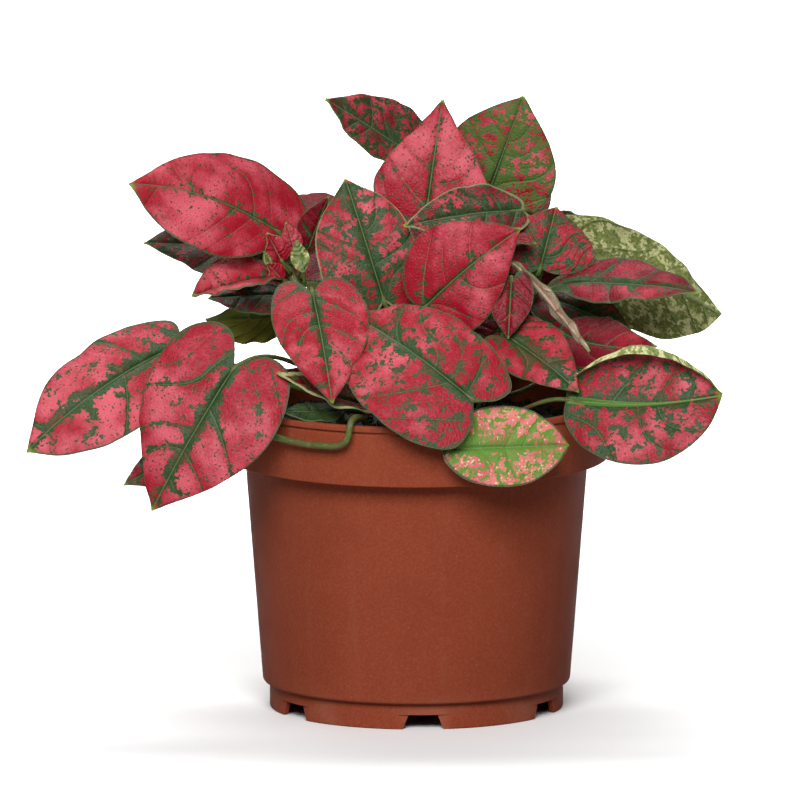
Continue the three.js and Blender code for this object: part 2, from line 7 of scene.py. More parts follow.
import math
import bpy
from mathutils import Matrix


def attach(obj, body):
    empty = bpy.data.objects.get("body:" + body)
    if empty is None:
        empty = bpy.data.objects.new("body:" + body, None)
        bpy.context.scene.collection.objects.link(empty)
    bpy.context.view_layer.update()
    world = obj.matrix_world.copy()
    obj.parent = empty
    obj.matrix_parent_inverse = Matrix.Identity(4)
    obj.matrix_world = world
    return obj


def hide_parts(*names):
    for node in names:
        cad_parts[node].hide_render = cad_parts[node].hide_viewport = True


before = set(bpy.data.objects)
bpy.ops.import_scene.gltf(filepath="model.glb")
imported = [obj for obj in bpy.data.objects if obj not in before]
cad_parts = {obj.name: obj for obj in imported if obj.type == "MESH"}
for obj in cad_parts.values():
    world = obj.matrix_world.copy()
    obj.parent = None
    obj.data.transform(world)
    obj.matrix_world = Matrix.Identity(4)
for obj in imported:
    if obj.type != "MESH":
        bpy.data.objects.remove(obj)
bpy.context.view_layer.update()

import zlib

import bmesh
import bpy
import numpy as np
from mathutils import Euler, Vector, noise

bl_info = {
    "name": "Potted Polka Dot Plant",
    "version": (1, 0, 0),
    "blender": (4, 5, 0),
    "location": "View3D > Sidebar > Plant",
    "description": "Builds a potted polka dot plant piece by piece, with its studio",
    "category": "Object",
}

MM = 0.001

# Outlines of a leaf blade: how far along the blade and how wide each side is, from the petiole round the
# base and out to the tip. Both run from 0 to 1; a negative first value is a lobe behind the petiole.
OUTLINES = {
    "ovate": ((0, 0), (-0.02, 0.36), (0.12, 0.78), (0.35, 1), (0.6, 0.84), (0.82, 0.44), (1, 0)),
    "heart": ((0, 0), (-0.15, 0.32), (-0.12, 0.72), (0.1, 0.97), (0.38, 0.98), (0.68, 0.64), (1, 0)),
    "blunt": ((0, 0), (0.02, 0.36), (0.16, 0.76), (0.4, 1), (0.66, 0.92), (0.88, 0.52), (1, 0)),
    "lobed": ((0, 0), (-0.17, 0.3), (-0.17, 0.68), (0, 1), (0.34, 1), (0.68, 0.62), (1, 0)),
    "broad": ((0, 0), (-0.1, 0.3), (-0.1, 0.68), (0.1, 0.95), (0.36, 1), (0.68, 0.82), (1, 0)),
    "tapered": ((0, 0), (-0.05, 0.38), (0.04, 0.84), (0.22, 1), (0.48, 0.76), (0.76, 0.34), (1, 0)),
    "narrow": ((0, 0), (0.04, 0.3), (0.2, 0.75), (0.42, 1), (0.64, 0.82), (0.84, 0.42), (1, 0)),
}

# Stems: radius, and centre line from the root up.
STEMS = {
    "stem_left": (1.4, ((-22, -12, 79), (-25, -12, 100), (-33, -11, 125), (-40, -8, 139), (-43, -5, 148))),
    "stem_middle": (1.5, ((3, 2, 79), (4, 0, 105), (4, -2, 130), (6, 3, 152), (9, 10, 168))),
    "stem_right": (1.4, ((17, 2, 79), (24, -1, 100), (33, -5, 122), (38, -4, 138), (40, 2, 150))),
    "stem_front": (1.3, ((16, -26, 79), (20, -32, 98), (25, -30, 109), (27, -24, 122), (26, -20, 134))),
    "stem_trailing": (1.1, ((-13, -34, 80), (-16, -48, 97), (-20, -57.5, 98.7), (-22, -58.5, 92),
                            (-31, -54, 90.5), (-43, -46, 91.5), (-58, -32, 94), (-68, -22, 98))),
    "stem_back_left": (1.4, ((-12, 20, 79), (-18, 28, 105), (-22, 34, 128), (-22, 38, 145))),
    "stem_back_right": (1.4, ((14, 22, 79), (20, 30, 105), (26, 36, 126), (28, 38, 142))),
}

# Leaves.
# stem, at: the stem, and how far up it the petiole is seated.
# base, tip: the ends of the blade. face: the way the upper side looks.
# outline: one of the outlines above, or one each for the left and the right half.
# wide: half widths left and right of the midrib, seen on the upper side with the tip pointing up.
# look: the pattern of the upper side. tone: from 0 for pale to 1 for deep colour.
# Optional: arch, the midrib's rise; sway, its bend to the right; peak, where both are greatest;
# fold, the slope in degrees of both halves up from the midrib; curl, the further turn of the left and the
# right half by the margin; via, points that the petiole passes; under, the look of the underside;
# crinkle, how strongly the blade puckers.
LEAVES = {
    "leaf_far_left": dict(
        stem="stem_trailing", at=0.98, outline=("blunt", "broad"), base=(-75, -21, 115),
        tip=(-120, -46, 87), face=(-0.2, -0.8, 0.55), wide=(18.5, 15), arch=4, sway=1, curl=(-10, -10),
        look="veined", tone=0.3,
    ),
    "leaf_front_left_heart": dict(
        stem="stem_left", at=0.35, outline=("heart", "lobed"), base=(-56, -43, 113),
        tip=(-81.5, -51, 69.4), face=(-0.15, -0.9, 0.4), wide=(22, 21.5), arch=3, curl=(-12, -12),
        via=((-42.6, -30, 113.6), (-49.7, -38, 115)), look="coral", tone=0.4,
    ),
    "leaf_upper_left": dict(
        stem="stem_left", at=0.95, outline=("blunt", "lobed"), base=(-42.5, -9, 149),
        tip=(-88.5, -22, 166.5), face=(-0.1, -0.75, 0.65), wide=(19, 18.5), arch=3, sway=2.5,
        curl=(-10, -10), look="speckled", tone=0.4,
    ),
    "leaf_left_dark": dict(
        stem="stem_left", at=0.85, outline=("tapered", "ovate"), base=(-48, 6, 142), tip=(-84, 7, 143),
        face=(-0.1, -0.6, 0.8), wide=(16, 12), look="dark", tone=0.5,
    ),
    "leaf_left_two_tone": dict(
        stem="stem_left", at=0.78, outline="ovate", base=(-43, -14, 136), tip=(-69, -32, 133),
        face=(-0.1, -0.5, 0.85), wide=(9, 10), sway=1.5, fold=24, look="speckled", tone=0.3,
        crinkle=1.7,
    ),
    "leaf_left_below": dict(
        stem="stem_left", at=0.68, outline="ovate", base=(-40, -4, 129), tip=(-64, -12, 129),
        face=(-0.1, -0.5, 0.85), wide=(10, 10), look="dark", tone=0.7,
    ),
    "leaf_left_underside": dict(
        stem="stem_left", at=0.6, outline="ovate", base=(-36, 12, 120), tip=(-65, -4, 121),
        face=(-0.1, 0.8, 0.6), wide=(8, 13), look="coral", under="olive",
    ),
    "leaf_hanging_red": dict(
        stem="stem_left", at=0.64, outline="heart", base=(-32, -34, 134.5), tip=(-26, -60, 104.5),
        face=(0.05, -0.75, 0.66), wide=(15.5, 14), arch=3, curl=(-14, -14), look="glowing", tone=0.6,
        crinkle=1.4,
    ),
    "leaf_curled_edge": dict(
        stem="stem_middle", at=0.2, outline="narrow", base=(-8, -39, 99), tip=(-43, -47, 112),
        face=(-0.05, -0.35, 0.93), wide=(12, 9), arch=-2, fold=16, look="edged", tone=0.7,
    ),
    "leaf_front_big": dict(
        stem="stem_front", at=0.3, outline="broad", base=(17.5, -61, 105.6), tip=(-20, -36.4, 128),
        face=(0.1, -0.86, 0.5), wide=(24, 17.8), arch=4, curl=(-10, -10),
        via=((23, -50, 105.5), (21.5, -58.5, 105.6)), look="blotched", tone=0.6,
    ),
    "leaf_middle_right_tip": dict(
        stem="stem_middle", at=0.45, outline=("ovate", "heart"), base=(2, -31, 129), tip=(32, -31, 154),
        face=(0.1, -0.95, 0.3), wide=(17.5, 15.5), sway=-1, arch=2, curl=(-10, -15), look="speckled",
        tone=0.6,
    ),
    "leaf_upright_mottled": dict(
        stem="stem_middle", at=0.52, outline="broad", base=(-10, -23, 130), tip=(-22, -13, 166.6),
        face=(0.05, -0.95, 0.3), wide=(16.2, 14.6), arch=2, curl=(-10, -10), look="mottled", tone=0.5,
    ),
    "leaf_top_pink": dict(
        stem="stem_middle", at=0.82, outline="tapered", base=(3, -10, 155), tip=(8, 4, 188),
        face=(0, -0.85, 0.5), wide=(17.5, 18.5), arch=2, curl=(-12, -12), look="speckled", tone=0.35,
    ),
    "leaf_top_left": dict(
        stem="stem_middle", at=0.97, outline=("narrow", "heart"), base=(0, 14, 169), tip=(-28, 6, 188),
        face=(-0.1, -0.6, 0.8), wide=(10.5, 15), look="dark", tone=0.4,
    ),
    "leaf_top_right": dict(
        stem="stem_middle", at=0.92, outline=("ovate", "heart"), base=(22, 14, 157),
        tip=(33, 14, 187.5), face=(0.1, -0.9, 0.4), wide=(17, 18.2), look="green", tone=0.45,
    ),
    "leaf_top_flat": dict(
        stem="stem_right", at=0.97, outline="ovate", base=(33, -9, 156), tip=(-4, -27, 154),
        face=(0, -0.75, 0.66), wide=(10.5, 10.5), arch=2, look="lipped", tone=0.3,
    ),
    "leaf_narrow_red": dict(
        stem="stem_middle", at=0.72, outline="narrow", base=(14, -15, 151), tip=(37, -23, 148),
        face=(0.1, -0.25, 0.96), wide=(8, 7), look="crimson", tone=0.7,
    ),
    "leaf_right_mottled": dict(
        stem="stem_right", at=0.78, outline=("lobed", "ovate"), base=(38, -16, 139), tip=(43, -9, 157),
        face=(0.1, -0.85, 0.5), wide=(15, 15.5), look="blotched", tone=0.7,
    ),
    "leaf_right_long": dict(
        stem="stem_right", at=0.7, outline="narrow", base=(40, -19, 133), tip=(87, -38, 135),
        face=(0, -0.5, 0.85), wide=(11, 10), sway=-4.5, peak=0.35, look="reddish", tone=0.6,
    ),
    "leaf_right_pale": dict(
        stem="stem_right", at=0.85, outline=("blunt", "heart"), base=(47, 5, 141), tip=(94, -12, 124),
        face=(0.1, 0.9, 0.4), wide=(20.5, 15), arch=3, look="coral", under="cream",
    ),
    "leaf_right_crimson": dict(
        stem="stem_right", at=0.45, outline="ovate", base=(44, -14, 119), tip=(74, -28, 117),
        face=(0.1, -0.7, 0.7), wide=(11, 10), sway=3, look="crimson", tone=0.8,
    ),
    "leaf_right_dull": dict(
        stem="stem_right", at=0.55, outline="ovate", base=(37, 8, 127.3), tip=(66, -9.5, 118.6),
        face=(0, -0.6, 0.8), wide=(9.6, 11), look="dark", tone=0.6,
    ),
    "leaf_right_edge": dict(
        stem="stem_right", at=0.93, outline="narrow", base=(41, 8, 152), tip=(55, 6, 149),
        face=(0.1, 0.5, 0.87), wide=(6, 6), look="blotched", under="cream",
    ),
    "leaf_front_right": dict(
        stem="stem_front", at=0.33, outline="blunt", base=(46, -44, 103), tip=(94, -50, 105.4),
        face=(0.05, -0.85, 0.5), wide=(25, 19.5), sway=2.2, curl=(195, -10), look="ribbed", tone=0.5,
        under="cream",
    ),
    "leaf_arched": dict(
        stem="stem_front", at=0.97, outline="narrow", base=(29.4, -25, 142.8), tip=(53.2, -42.4, 117.6),
        face=(0.3, 0.5, 0.8), wide=(8, 8), arch=1, peak=0.3, look="reddish", under="blushed",
    ),
    "leaf_small_crimson": dict(
        stem="stem_front", at=0.9, outline="heart", base=(29.2, -30.4, 138), tip=(28.2, -38, 121),
        face=(0, -0.85, 0.5), wide=(7, 7), look="crimson", tone=0.6,
    ),
    "leaf_mid_right_pink": dict(
        stem="stem_front", at=0.7, outline="heart", base=(28, -34, 121), tip=(50, -48, 106),
        face=(0.2, -0.8, 0.55), wide=(12, 10.5), arch=1.5, look="coral", tone=0.4,
    ),
    "leaf_in_shade": dict(
        stem="stem_front", at=0.85, outline="ovate", base=(26, -19, 121), tip=(10, -24, 107),
        face=(-0.1, -0.8, 0.6), wide=(9, 9), look="crimson", tone=0.9,
    ),
    "leaf_low_front": dict(
        stem="stem_front", at=0.22, outline="blunt", base=(8, -63.5, 91), tip=(47, -57, 91),
        face=(0.05, -0.93, 0.37), wide=(13, 12.5),
        via=((14, -50, 100), (8, -58.6, 98.8), (4, -62.4, 94)), look="pale", tone=0.3,
    ),
    "leaf_over_rim_green": dict(
        stem="stem_middle", at=0.12, outline="narrow", base=(-22, -40, 98.5), tip=(-42, -46, 99.5),
        face=(0, -0.3, 0.95), wide=(7, 6), look="plain", tone=0.5,
    ),
    "leaf_low_left_tip": dict(
        stem="stem_trailing", at=0.9, outline="narrow", base=(-67, -26, 86), tip=(-90, -34, 74.6),
        face=(-0.2, -0.8, 0.55), wide=(8.5, 6.5), look="reddish", tone=0.5, under="mauve",
    ),
    "leaf_shoot_pink": dict(
        stem="stem_left", at=0.86, outline="narrow", base=(-37, -12, 142), tip=(-40, -14, 153),
        face=(0.2, -0.9, 0.3), wide=(3.5, 3.5), look="young", tone=0.2, crinkle=2,
    ),
    "leaf_shoot_dark": dict(
        stem="stem_left", at=0.8, outline="narrow", base=(-34, -8, 142), tip=(-27, -12, 161),
        face=(-0.3, -0.8, 0.4), wide=(6, 6), fold=30, look="crimson", tone=0.9,
    ),
    "leaf_shoot_mauve": dict(
        stem="stem_left", at=0.9, outline="narrow", base=(-47, -4, 139), tip=(-57, -9, 147),
        face=(0, 0.8, 0.5), wide=(4, 4), look="crimson", tone=0.8, under="mauve",
    ),
    "leaf_shoot_twisted": dict(
        stem="stem_left", at=0.74, outline="narrow", base=(-35, -16, 138), tip=(-37, -17, 148),
        face=(-0.3, 0.9, 0.2), wide=(3, 3), look="pale", under="cream", crinkle=1.5,
    ),
    "leaf_back_1": dict(
        stem="stem_back_left", at=0.95, outline="heart", base=(-29, 46, 147.5), tip=(-60, 66, 139),
        face=(-0.4, 0.3, 0.9), wide=(16, 16), arch=4, look="crimson", tone=0.7,
    ),
    "leaf_back_2": dict(
        stem="stem_back_left", at=0.97, outline="heart", base=(-8, 44, 139), tip=(2, 78, 147),
        face=(0, 0.6, 0.8), wide=(16, 16), arch=4, look="blotched", tone=0.5,
    ),
    "leaf_back_3": dict(
        stem="stem_back_left", at=0.74, outline="ovate", base=(-34, 38, 130), tip=(-66, 46, 124),
        face=(-0.4, 0.4, 0.8), wide=(14, 15), arch=3, look="dark", tone=0.5,
    ),
    "leaf_back_4": dict(
        stem="stem_back_left", at=0.64, outline="heart", base=(-16, 50, 124), tip=(-24, 88, 106),
        face=(-0.1, 0.6, 0.8), wide=(18, 17), arch=5, look="coral", tone=0.4,
    ),
    "leaf_back_5": dict(
        stem="stem_back_left", at=0.4, outline="heart", base=(-20, 50, 104), tip=(-32, 84, 86),
        face=(-0.2, 0.7, 0.7), wide=(16, 16), arch=4, look="veined", tone=0.5,
    ),
    "leaf_back_6": dict(
        stem="stem_back_right", at=0.95, outline="heart", base=(35, 44, 142), tip=(64, 60, 128),
        face=(0.4, 0.4, 0.8), wide=(15, 15), arch=4, look="reddish", tone=0.6,
    ),
    "leaf_back_7": dict(
        stem="stem_back_right", at=0.97, outline="heart", base=(26, 46, 148), tip=(22, 82, 154),
        face=(0.1, 0.6, 0.8), wide=(16, 16), arch=4, look="blotched", tone=0.6,
    ),
    "leaf_back_8": dict(
        stem="stem_back_right", at=0.7, outline="ovate", base=(38, 42, 124), tip=(70, 52, 112),
        face=(0.4, 0.5, 0.8), wide=(14, 14), arch=3, look="coral", tone=0.5,
    ),
    "leaf_back_9": dict(
        stem="stem_back_right", at=0.62, outline="heart", base=(22, 52, 120), tip=(30, 88, 104),
        face=(0.1, 0.6, 0.8), wide=(17, 17), arch=5, look="blotched", tone=0.5,
    ),
    "leaf_back_10": dict(
        stem="stem_back_right", at=0.42, outline="heart", base=(34, 48, 106), tip=(60, 68, 86),
        face=(0.4, 0.6, 0.7), wide=(15, 15), arch=4, look="speckled", tone=0.4,
    ),
    "leaf_back_11": dict(
        stem="stem_back_right", at=0.25, outline="ovate", base=(2, 54, 106), tip=(0, 88, 88),
        face=(0, 0.7, 0.7), wide=(14, 14), arch=3, look="veined", tone=0.3,
    ),
    "leaf_back_12": dict(
        stem="stem_middle", at=0.88, outline="heart", base=(8, 24, 161), tip=(6, 58, 168),
        face=(0, 0.5, 0.87), wide=(15, 15), arch=4, look="speckled", tone=0.5,
    ),
    "leaf_side_left": dict(
        stem="stem_left", at=0.28, outline="heart", base=(-50, 12, 100), tip=(-84, 30, 84),
        face=(-0.5, 0.1, 0.85), wide=(16, 16), arch=5, look="coral", tone=0.5,
    ),
    "leaf_side_right": dict(
        stem="stem_right", at=0.25, outline="heart", base=(54, 12, 106), tip=(88, 26, 90),
        face=(0.5, 0, 0.87), wide=(16, 16), arch=5, look="veined", tone=0.5,
    ),
    "leaf_side_right_back": dict(
        stem="stem_right", at=0.4, outline="ovate", base=(42, 24, 114), tip=(72, 46, 98),
        face=(0.5, 0.3, 0.8), wide=(15, 15), arch=4, look="dark", tone=0.5,
    ),
    "leaf_inner_back": dict(
        stem="stem_middle", at=0.6, outline="broad", base=(-8, 9, 137), tip=(-46, 12, 136),
        face=(-0.2, -0.5, 0.85), wide=(15, 14), arch=4, look="crimson", tone=0.6,
    ),
}

# Young leaves in the crown and at the left shoot tip that the frame has no solids for. The four in the crown
# are deep crimson at tone 0.9, partly their own colour and partly painted shade.
YOUNG = {
    # Deep crimson at tone 0.9: partly the leaf's own colour, partly painted shade deep in the crown.
    "young_right": dict(
        stem="stem_right", at=0.66, outline="ovate", base=(34, 3, 129.5), tip=(34, 7, 148),
        face=(0, -0.95, 0.3), wide=(12, 13.5), look="crimson", tone=0.9,
    ),
    "young_low": dict(
        stem="stem_right", at=0.56, outline="ovate", base=(32, 3, 114), tip=(37, 5, 128),
        face=(0, -0.95, 0.3), wide=(7, 7), look="crimson", tone=0.9,
    ),
    "young_left": dict(
        stem="stem_left", at=0.7, outline="ovate", base=(-42, 4, 126), tip=(-40, 6, 140),
        face=(0, -0.95, 0.3), wide=(7, 7), look="crimson", tone=0.9,
    ),
    "young_middle": dict(
        stem="stem_middle", at=0.44, outline="ovate", base=(-5, -7, 119), tip=(-17, -11, 128),
        face=(0, -0.9, 0.4), wide=(7, 7), look="crimson", tone=0.9,
    ),
    "young_crinkled": dict(
        stem="stem_left", at=0.82, outline="ovate", base=(-41.5, -13.5, 141), tip=(-46, -16, 150),
        face=(0.2, -0.9, 0.4), wide=(4.5, 4.5), fold=20, look="young", tone=0.3, crinkle=2.2,
    ),
    "young_small": dict(
        stem="stem_left", at=0.76, outline="narrow", base=(-41, -15, 135), tip=(-46, -18, 141),
        face=(0, -0.8, 0.6), wide=(3.2, 3.2), fold=15, look="young", tone=0.6, crinkle=2,
    ),
    "young_bud": dict(
        stem="stem_left", at=0.88, outline="narrow", base=(-45.2, -16.5, 139.5),
        tip=(-46.8, -17.5, 144.5), face=(0, -0.9, 0.4), wide=(1.7, 1.7), fold=35, look="cream_bud",
        tone=0.2, under="cream", crinkle=0.6,
    ),
}

# Patterns of the upper side.
# coverage: how much of it is green, in the colour ground. pull: how strongly the green keeps to the veins.
# specks: the share of the small dots, in the colour speck. grain: how many blotches there are to a length.
# pale, deep: the two ends of the colour between the blotches.
# rim, rim_width, rib, rib_width: the colour and width of the margin's line and of the midrib.
# tip: the colour of the blade's point.
COMMON_LOOK = dict(
    specks=0.4, grain=0.3, pale="coral", deep="crimson", ground="green", speck="shade_green",
    rim="margin", rim_width=0.5, rib="green", rib_width=0.8, tip="tip",
)
# What each look has of its own.
LOOKS = {
    "coral": dict(coverage=0.24, pull=0.36, specks=0.5),
    "veined": dict(coverage=0.36, pull=0.3, grain=0.26),
    "speckled": dict(coverage=0.18, pull=0.12, specks=0.6, grain=0.36),
    "blotched": dict(coverage=0.44, pull=0.16),
    "mottled": dict(coverage=0.54, pull=0.16, rim="pale_edge"),
    "ribbed": dict(coverage=0.5, pull=0.18, rib="bright_green", rib_width=1.25),
    "glowing": dict(coverage=0.16, pull=0.26, specks=0.5),
    "reddish": dict(coverage=0.2, pull=0.3, grain=0.26, pale="rose", deep="wine"),
    "young": dict(coverage=-0.3, pull=0.05, specks=0.1, rim="crimson", rib="coral", rib_width=0.6),
    "crimson": dict(
        coverage=0.0, pull=0.16, specks=0.3, pale="scarlet", deep="wine", ground="shade_green",
    ),
    "dark": dict(coverage=0.58, pull=0.12, grain=0.34, pale="rose", deep="wine", ground="shade_green"),
    "green": dict(coverage=0.64, pull=0.08, specks=0.3, grain=0.46, ground="leaf_green"),
    "pale": dict(
        coverage=0.52, pull=0.24, specks=0.5, grain=0.42, pale="salmon", deep="coral",
        ground="fresh_green", speck="cream", rib="bright_green", rib_width=1.3,
    ),
    "plain": dict(
        coverage=0, pull=0, specks=0, pale="leaf_green", deep="shade_green", ground="leaf_green",
    ),
    "edged": dict(
        coverage=0.3, pull=0.14, specks=0.3, pale="rose", deep="wine", ground="leaf_green", rim="cream",
        rim_width=1.5,
    ),
    "cream_bud": dict(
        coverage=0.1, pull=0, specks=0.2, pale="cream", deep="olive_pale", ground="olive",
    ),
    "lipped": dict(
        coverage=0.56, pull=0.12, grain=0.34, pale="rose", deep="wine", ground="shade_green",
        rim="pale_edge", rim_width=0.45,
    ),
}

# Patterns of the underside: the ground colour, the colour of the mottles, how much of the ground they cover,
# and how many there are to a length.
UNDERSIDES = {
    "olive": dict(ground="bright_olive", mottle="olive_pale", coverage=0.4, grain=0.4),
    "blushed": dict(ground="blush", mottle="pale_cream", coverage=0.7, grain=0.5),
    "cream": dict(ground="olive", mottle="cream", coverage=0.56, grain=0.26),
    "mauve": dict(ground="mauve", mottle="olive_pale", coverage=0.3, grain=0.3),
}

# Side veins, and the meshes. Lengths are in millimetres.
LATERALS = 4.3  # side veins along one half of a blade, at the least
LATERALS_MORE = 1.3  # how many more the blades with the most have
LATERAL_LEAN = 0.5  # how far a side vein runs forward for each step outward, where it leaves the midrib
LATERAL_BEND = 1.15  # how much more it leans towards the margin
LATERAL_STRAY = 0.4  # how unevenly the side veins are spaced
LATERAL_SQUARE = 0.72  # the distance square to a side vein over the distance along the blade
USUAL_LENGTH = 42  # the blade length that the relief in the leaf settings is meant for
BLADE_SECTIONS = 70
BLADE_COLUMNS = 21  # points from the midrib to the margin
PETIOLE_RADIUS = 0.8
PETIOLE_REACH = 0.35  # how far a petiole keeps its first and last direction, as a share of its length
PETIOLE_SECTIONS = 44
PETIOLE_SIDES = 10
GAP = 0.3  # clearance between a stem and the foot of a petiole
STEM_SECTIONS = 72
STEM_SIDES = 14
SPLINE_STEPS = 16  # between each two points of a spline
POT_SIDES = 192
FIRST_NOTCH = -87.4  # the direction of the first notch in the pot's foot, in degrees
NOTCH_HEIGHT = 4.6
NOTCH_PASSAGE = (11.4, 17)  # degrees of the foot that a notch takes up at its top and at its bottom
PASSAGE_DEPTH = 3.6
NOTCH_PANEL = (27, 31)  # the same for the shallow panel round it
PANEL_DEPTH = 0.8
HOLE_RADIUS = 3.4
HOLE_REACH = 33  # from the pot's axis to the middle of a drain hole
HOLE_SPAN = (4, 8)  # the heights between which it is cut
HOLE_SIDES = 36
SOIL_EDGE = 57.35  # radius of the soil's surface
SOIL_SIDES = 300
SOIL_ROWS = 84
# Radius and height of the soil from its edge down inside the pot's wall and across the floor.
SOIL_BELOW = ((57.4, 83), (57.2, 79.6), (51.2, 79.4), (48, 40), (45.6, 11), (43.3, 7), (20, 7), (1, 7))
CRUMB_COLUMNS = 40  # how many crumbs lie side by side in the texture square
FIBRE_SHARE = 0.12  # how many of the crumbs are fibres


# ---------------------------------------------------------------- settings

def length(label, description, default):
    return bpy.props.FloatProperty(
        name=label, description=description, default=default, min=0, precision=5,
        unit="LENGTH", subtype="DISTANCE",
    )


def number(label, description, default):
    return bpy.props.FloatProperty(name=label, description=description, default=default, min=0)


def count(label, description, default):
    return bpy.props.IntProperty(name=label, description=description, default=default, min=0)


def share(label, description, default):
    return bpy.props.FloatProperty(
        name=label, description=description, default=default, min=0, max=1, subtype="FACTOR"
    )


def colour(label, description, red, green, blue):
    """A colour property whose default is given as it looks on a screen, from 0 to 255."""
    return bpy.props.FloatVectorProperty(
        name=label, description=description, size=3, min=0, max=1, subtype="COLOR",
        default=tuple(linear(level / 255) for level in (red, green, blue)),
    )


def linear(level):
    return level / 12.92 if level <= 0.04045 else ((level + 0.055) / 1.055) ** 2.4


class PotSettings(bpy.types.PropertyGroup):
    height: length("Height", "From the foot to the top of the rim", 97 * MM)
    rim_radius: length("Rim radius", "Outside of the lip", 60 * MM)
    collar_radius: length("Collar radius", "Outside of the collar at its lower edge", 59.2 * MM)
    collar_height: length("Collar height", "From the collar's lower edge to the rim", 19 * MM)
    body_top_radius: length("Body top radius", "Body just under the collar", 52.8 * MM)
    body_bottom_radius: length("Body bottom radius", "Body just over the foot", 47.2 * MM)
    foot_radius: length("Foot radius", "Outside of the foot ring", 45.1 * MM)
    foot_height: length("Foot height", "Height of the foot ring", 8.1 * MM)
    wall: length("Wall", "Thickness of the moulding", 1.2 * MM)
    notches: count("Notches", "Drainage notches in the foot", 6)
    plastic: colour("Plastic", "Colour of the moulded plastic", 138, 62, 40)
    plastic_dark: colour("Plastic in hollows", "Colour where grime settles", 92, 36, 22)
    dust: colour("Dust", "Colour of dry water marks and dust", 176, 118, 96)


class SoilSettings(bpy.types.PropertyGroup):
    level: length("Level", "Height of the soil at the pot's wall", 86.3 * MM)
    crown: length("Crown", "How much higher the soil is in the middle", 1.2 * MM)
    crumbs: count("Crumbs", "Loose crumbs on the surface", 1500)
    crumb_size: length("Crumb size", "Radius of the largest crumbs", 1.5 * MM)
    peat: colour("Peat", "Colour of the moist peat", 26, 20, 17)
    bark: colour("Bark", "Colour of dry fibres and bark", 66, 47, 34)


class StemSettings(bpy.types.PropertyGroup):
    swelling: share("Swelling", "How much thicker a stem is where leaves leave it", 0.28)
    green: colour("Green", "Colour of the stems", 74, 98, 30)
    red: colour("Red", "Flush on the stems", 98, 44, 34)


class LeafSettings(bpy.types.PropertyGroup):
    thickness: length("Thickness", "Thickness of a blade at the midrib", 0.55 * MM)
    quilting: length("Quilting", "How far the blade swells between its side veins", 0.5 * MM)
    groove: length("Groove", "How deep the midrib lies on the upper side", 0.6 * MM)
    wave: length("Wave", "How far the margin waves up and down", 0.45 * MM)
    cell: length("Blotch grain", "Size of the small fields that the blotches are made of", 0.62 * MM)
    coral: colour("Coral", "Pale end of the pink", 204, 90, 102)
    crimson: colour("Crimson", "Deep end of the pink", 152, 14, 36)
    rose: colour("Rose", "Pale end of the deeper leaves", 196, 62, 78)
    scarlet: colour("Scarlet", "Pale end of the red leaves", 184, 26, 48)
    wine: colour("Wine", "Deep red of young and shaded leaves", 112, 6, 26)
    salmon: colour("Salmon", "Pale pink of the leaf over the rim", 214, 128, 116)
    green: colour("Green", "Blotches", 44, 68, 36)
    shade_green: colour("Deep green", "Blotches and ground of dark leaves", 38, 56, 28)
    leaf_green: colour("Leaf green", "Plain green leaves", 72, 98, 40)
    fresh_green: colour("Fresh green", "Young green ground", 92, 134, 44)
    bright_green: colour("Bright green", "Wide pale midribs", 92, 132, 58)
    vein: colour("Vein", "Fine line along a vein", 112, 128, 84)
    margin: colour("Margin", "Line along the edge", 58, 72, 46)
    tip: colour("Tip", "Point of the blade", 128, 150, 50)
    pale_edge: colour("Pale edge", "Line along a pale edge", 132, 130, 92)
    olive: colour("Olive", "Underside", 98, 112, 44)
    bright_olive: colour("Bright olive", "Underside of the leaves at the left", 148, 164, 62)
    blush: colour("Blush", "Ground of the underside of the arched leaf", 236, 186, 166)
    olive_pale: colour("Pale olive", "Mottles of a plain underside", 142, 150, 84)
    pale_cream: colour("Pale cream", "Mottles of the underside of the arched leaf", 240, 232, 200)
    cream: colour("Cream", "Mottles of a pale underside", 204, 204, 148)
    mauve: colour("Mauve", "Shaded underside", 112, 52, 66)


class StageSettings(bpy.types.PropertyGroup):
    frame_width: length("Frame width", "How much the camera takes in from side to side", 800 / 3.25 * MM)
    elevation: bpy.props.FloatProperty(
        name="Elevation", description="How far the camera looks down", default=math.radians(10),
        subtype="ANGLE",
    )
    aim_across: bpy.props.FloatProperty(
        name="Aim across", description="Where the camera aims, from side to side", default=-5.08 * MM,
        unit="LENGTH", subtype="DISTANCE", precision=5,
    )
    aim_height: length("Aim height", "Where the camera aims, up the pot's axis", 95.1 * MM)
    paper: colour("Paper", "Floor and backdrop", 250, 250, 250)
    bounce: share("Bounce", "Share of its light that the paper throws back at the plant", 0.35)
    key: number("Key", "Power of the large lamp over the camera, in watts", 29)
    fill: number("Fill", "Power of the side lamps, in watts", 0.4)
    backdrop: number("Backdrop light", "Power of the lamp over the paper behind the plant, in watts", 30)
    sky: number("Sky", "Strength of the even light", 0.08)


SETTINGS = {
    "plant_pot": PotSettings,
    "plant_soil": SoilSettings,
    "plant_stems": StemSettings,
    "plant_leaves": LeafSettings,
    "plant_stage": StageSettings,
}


# ---------------------------------------------------------------- node graphs

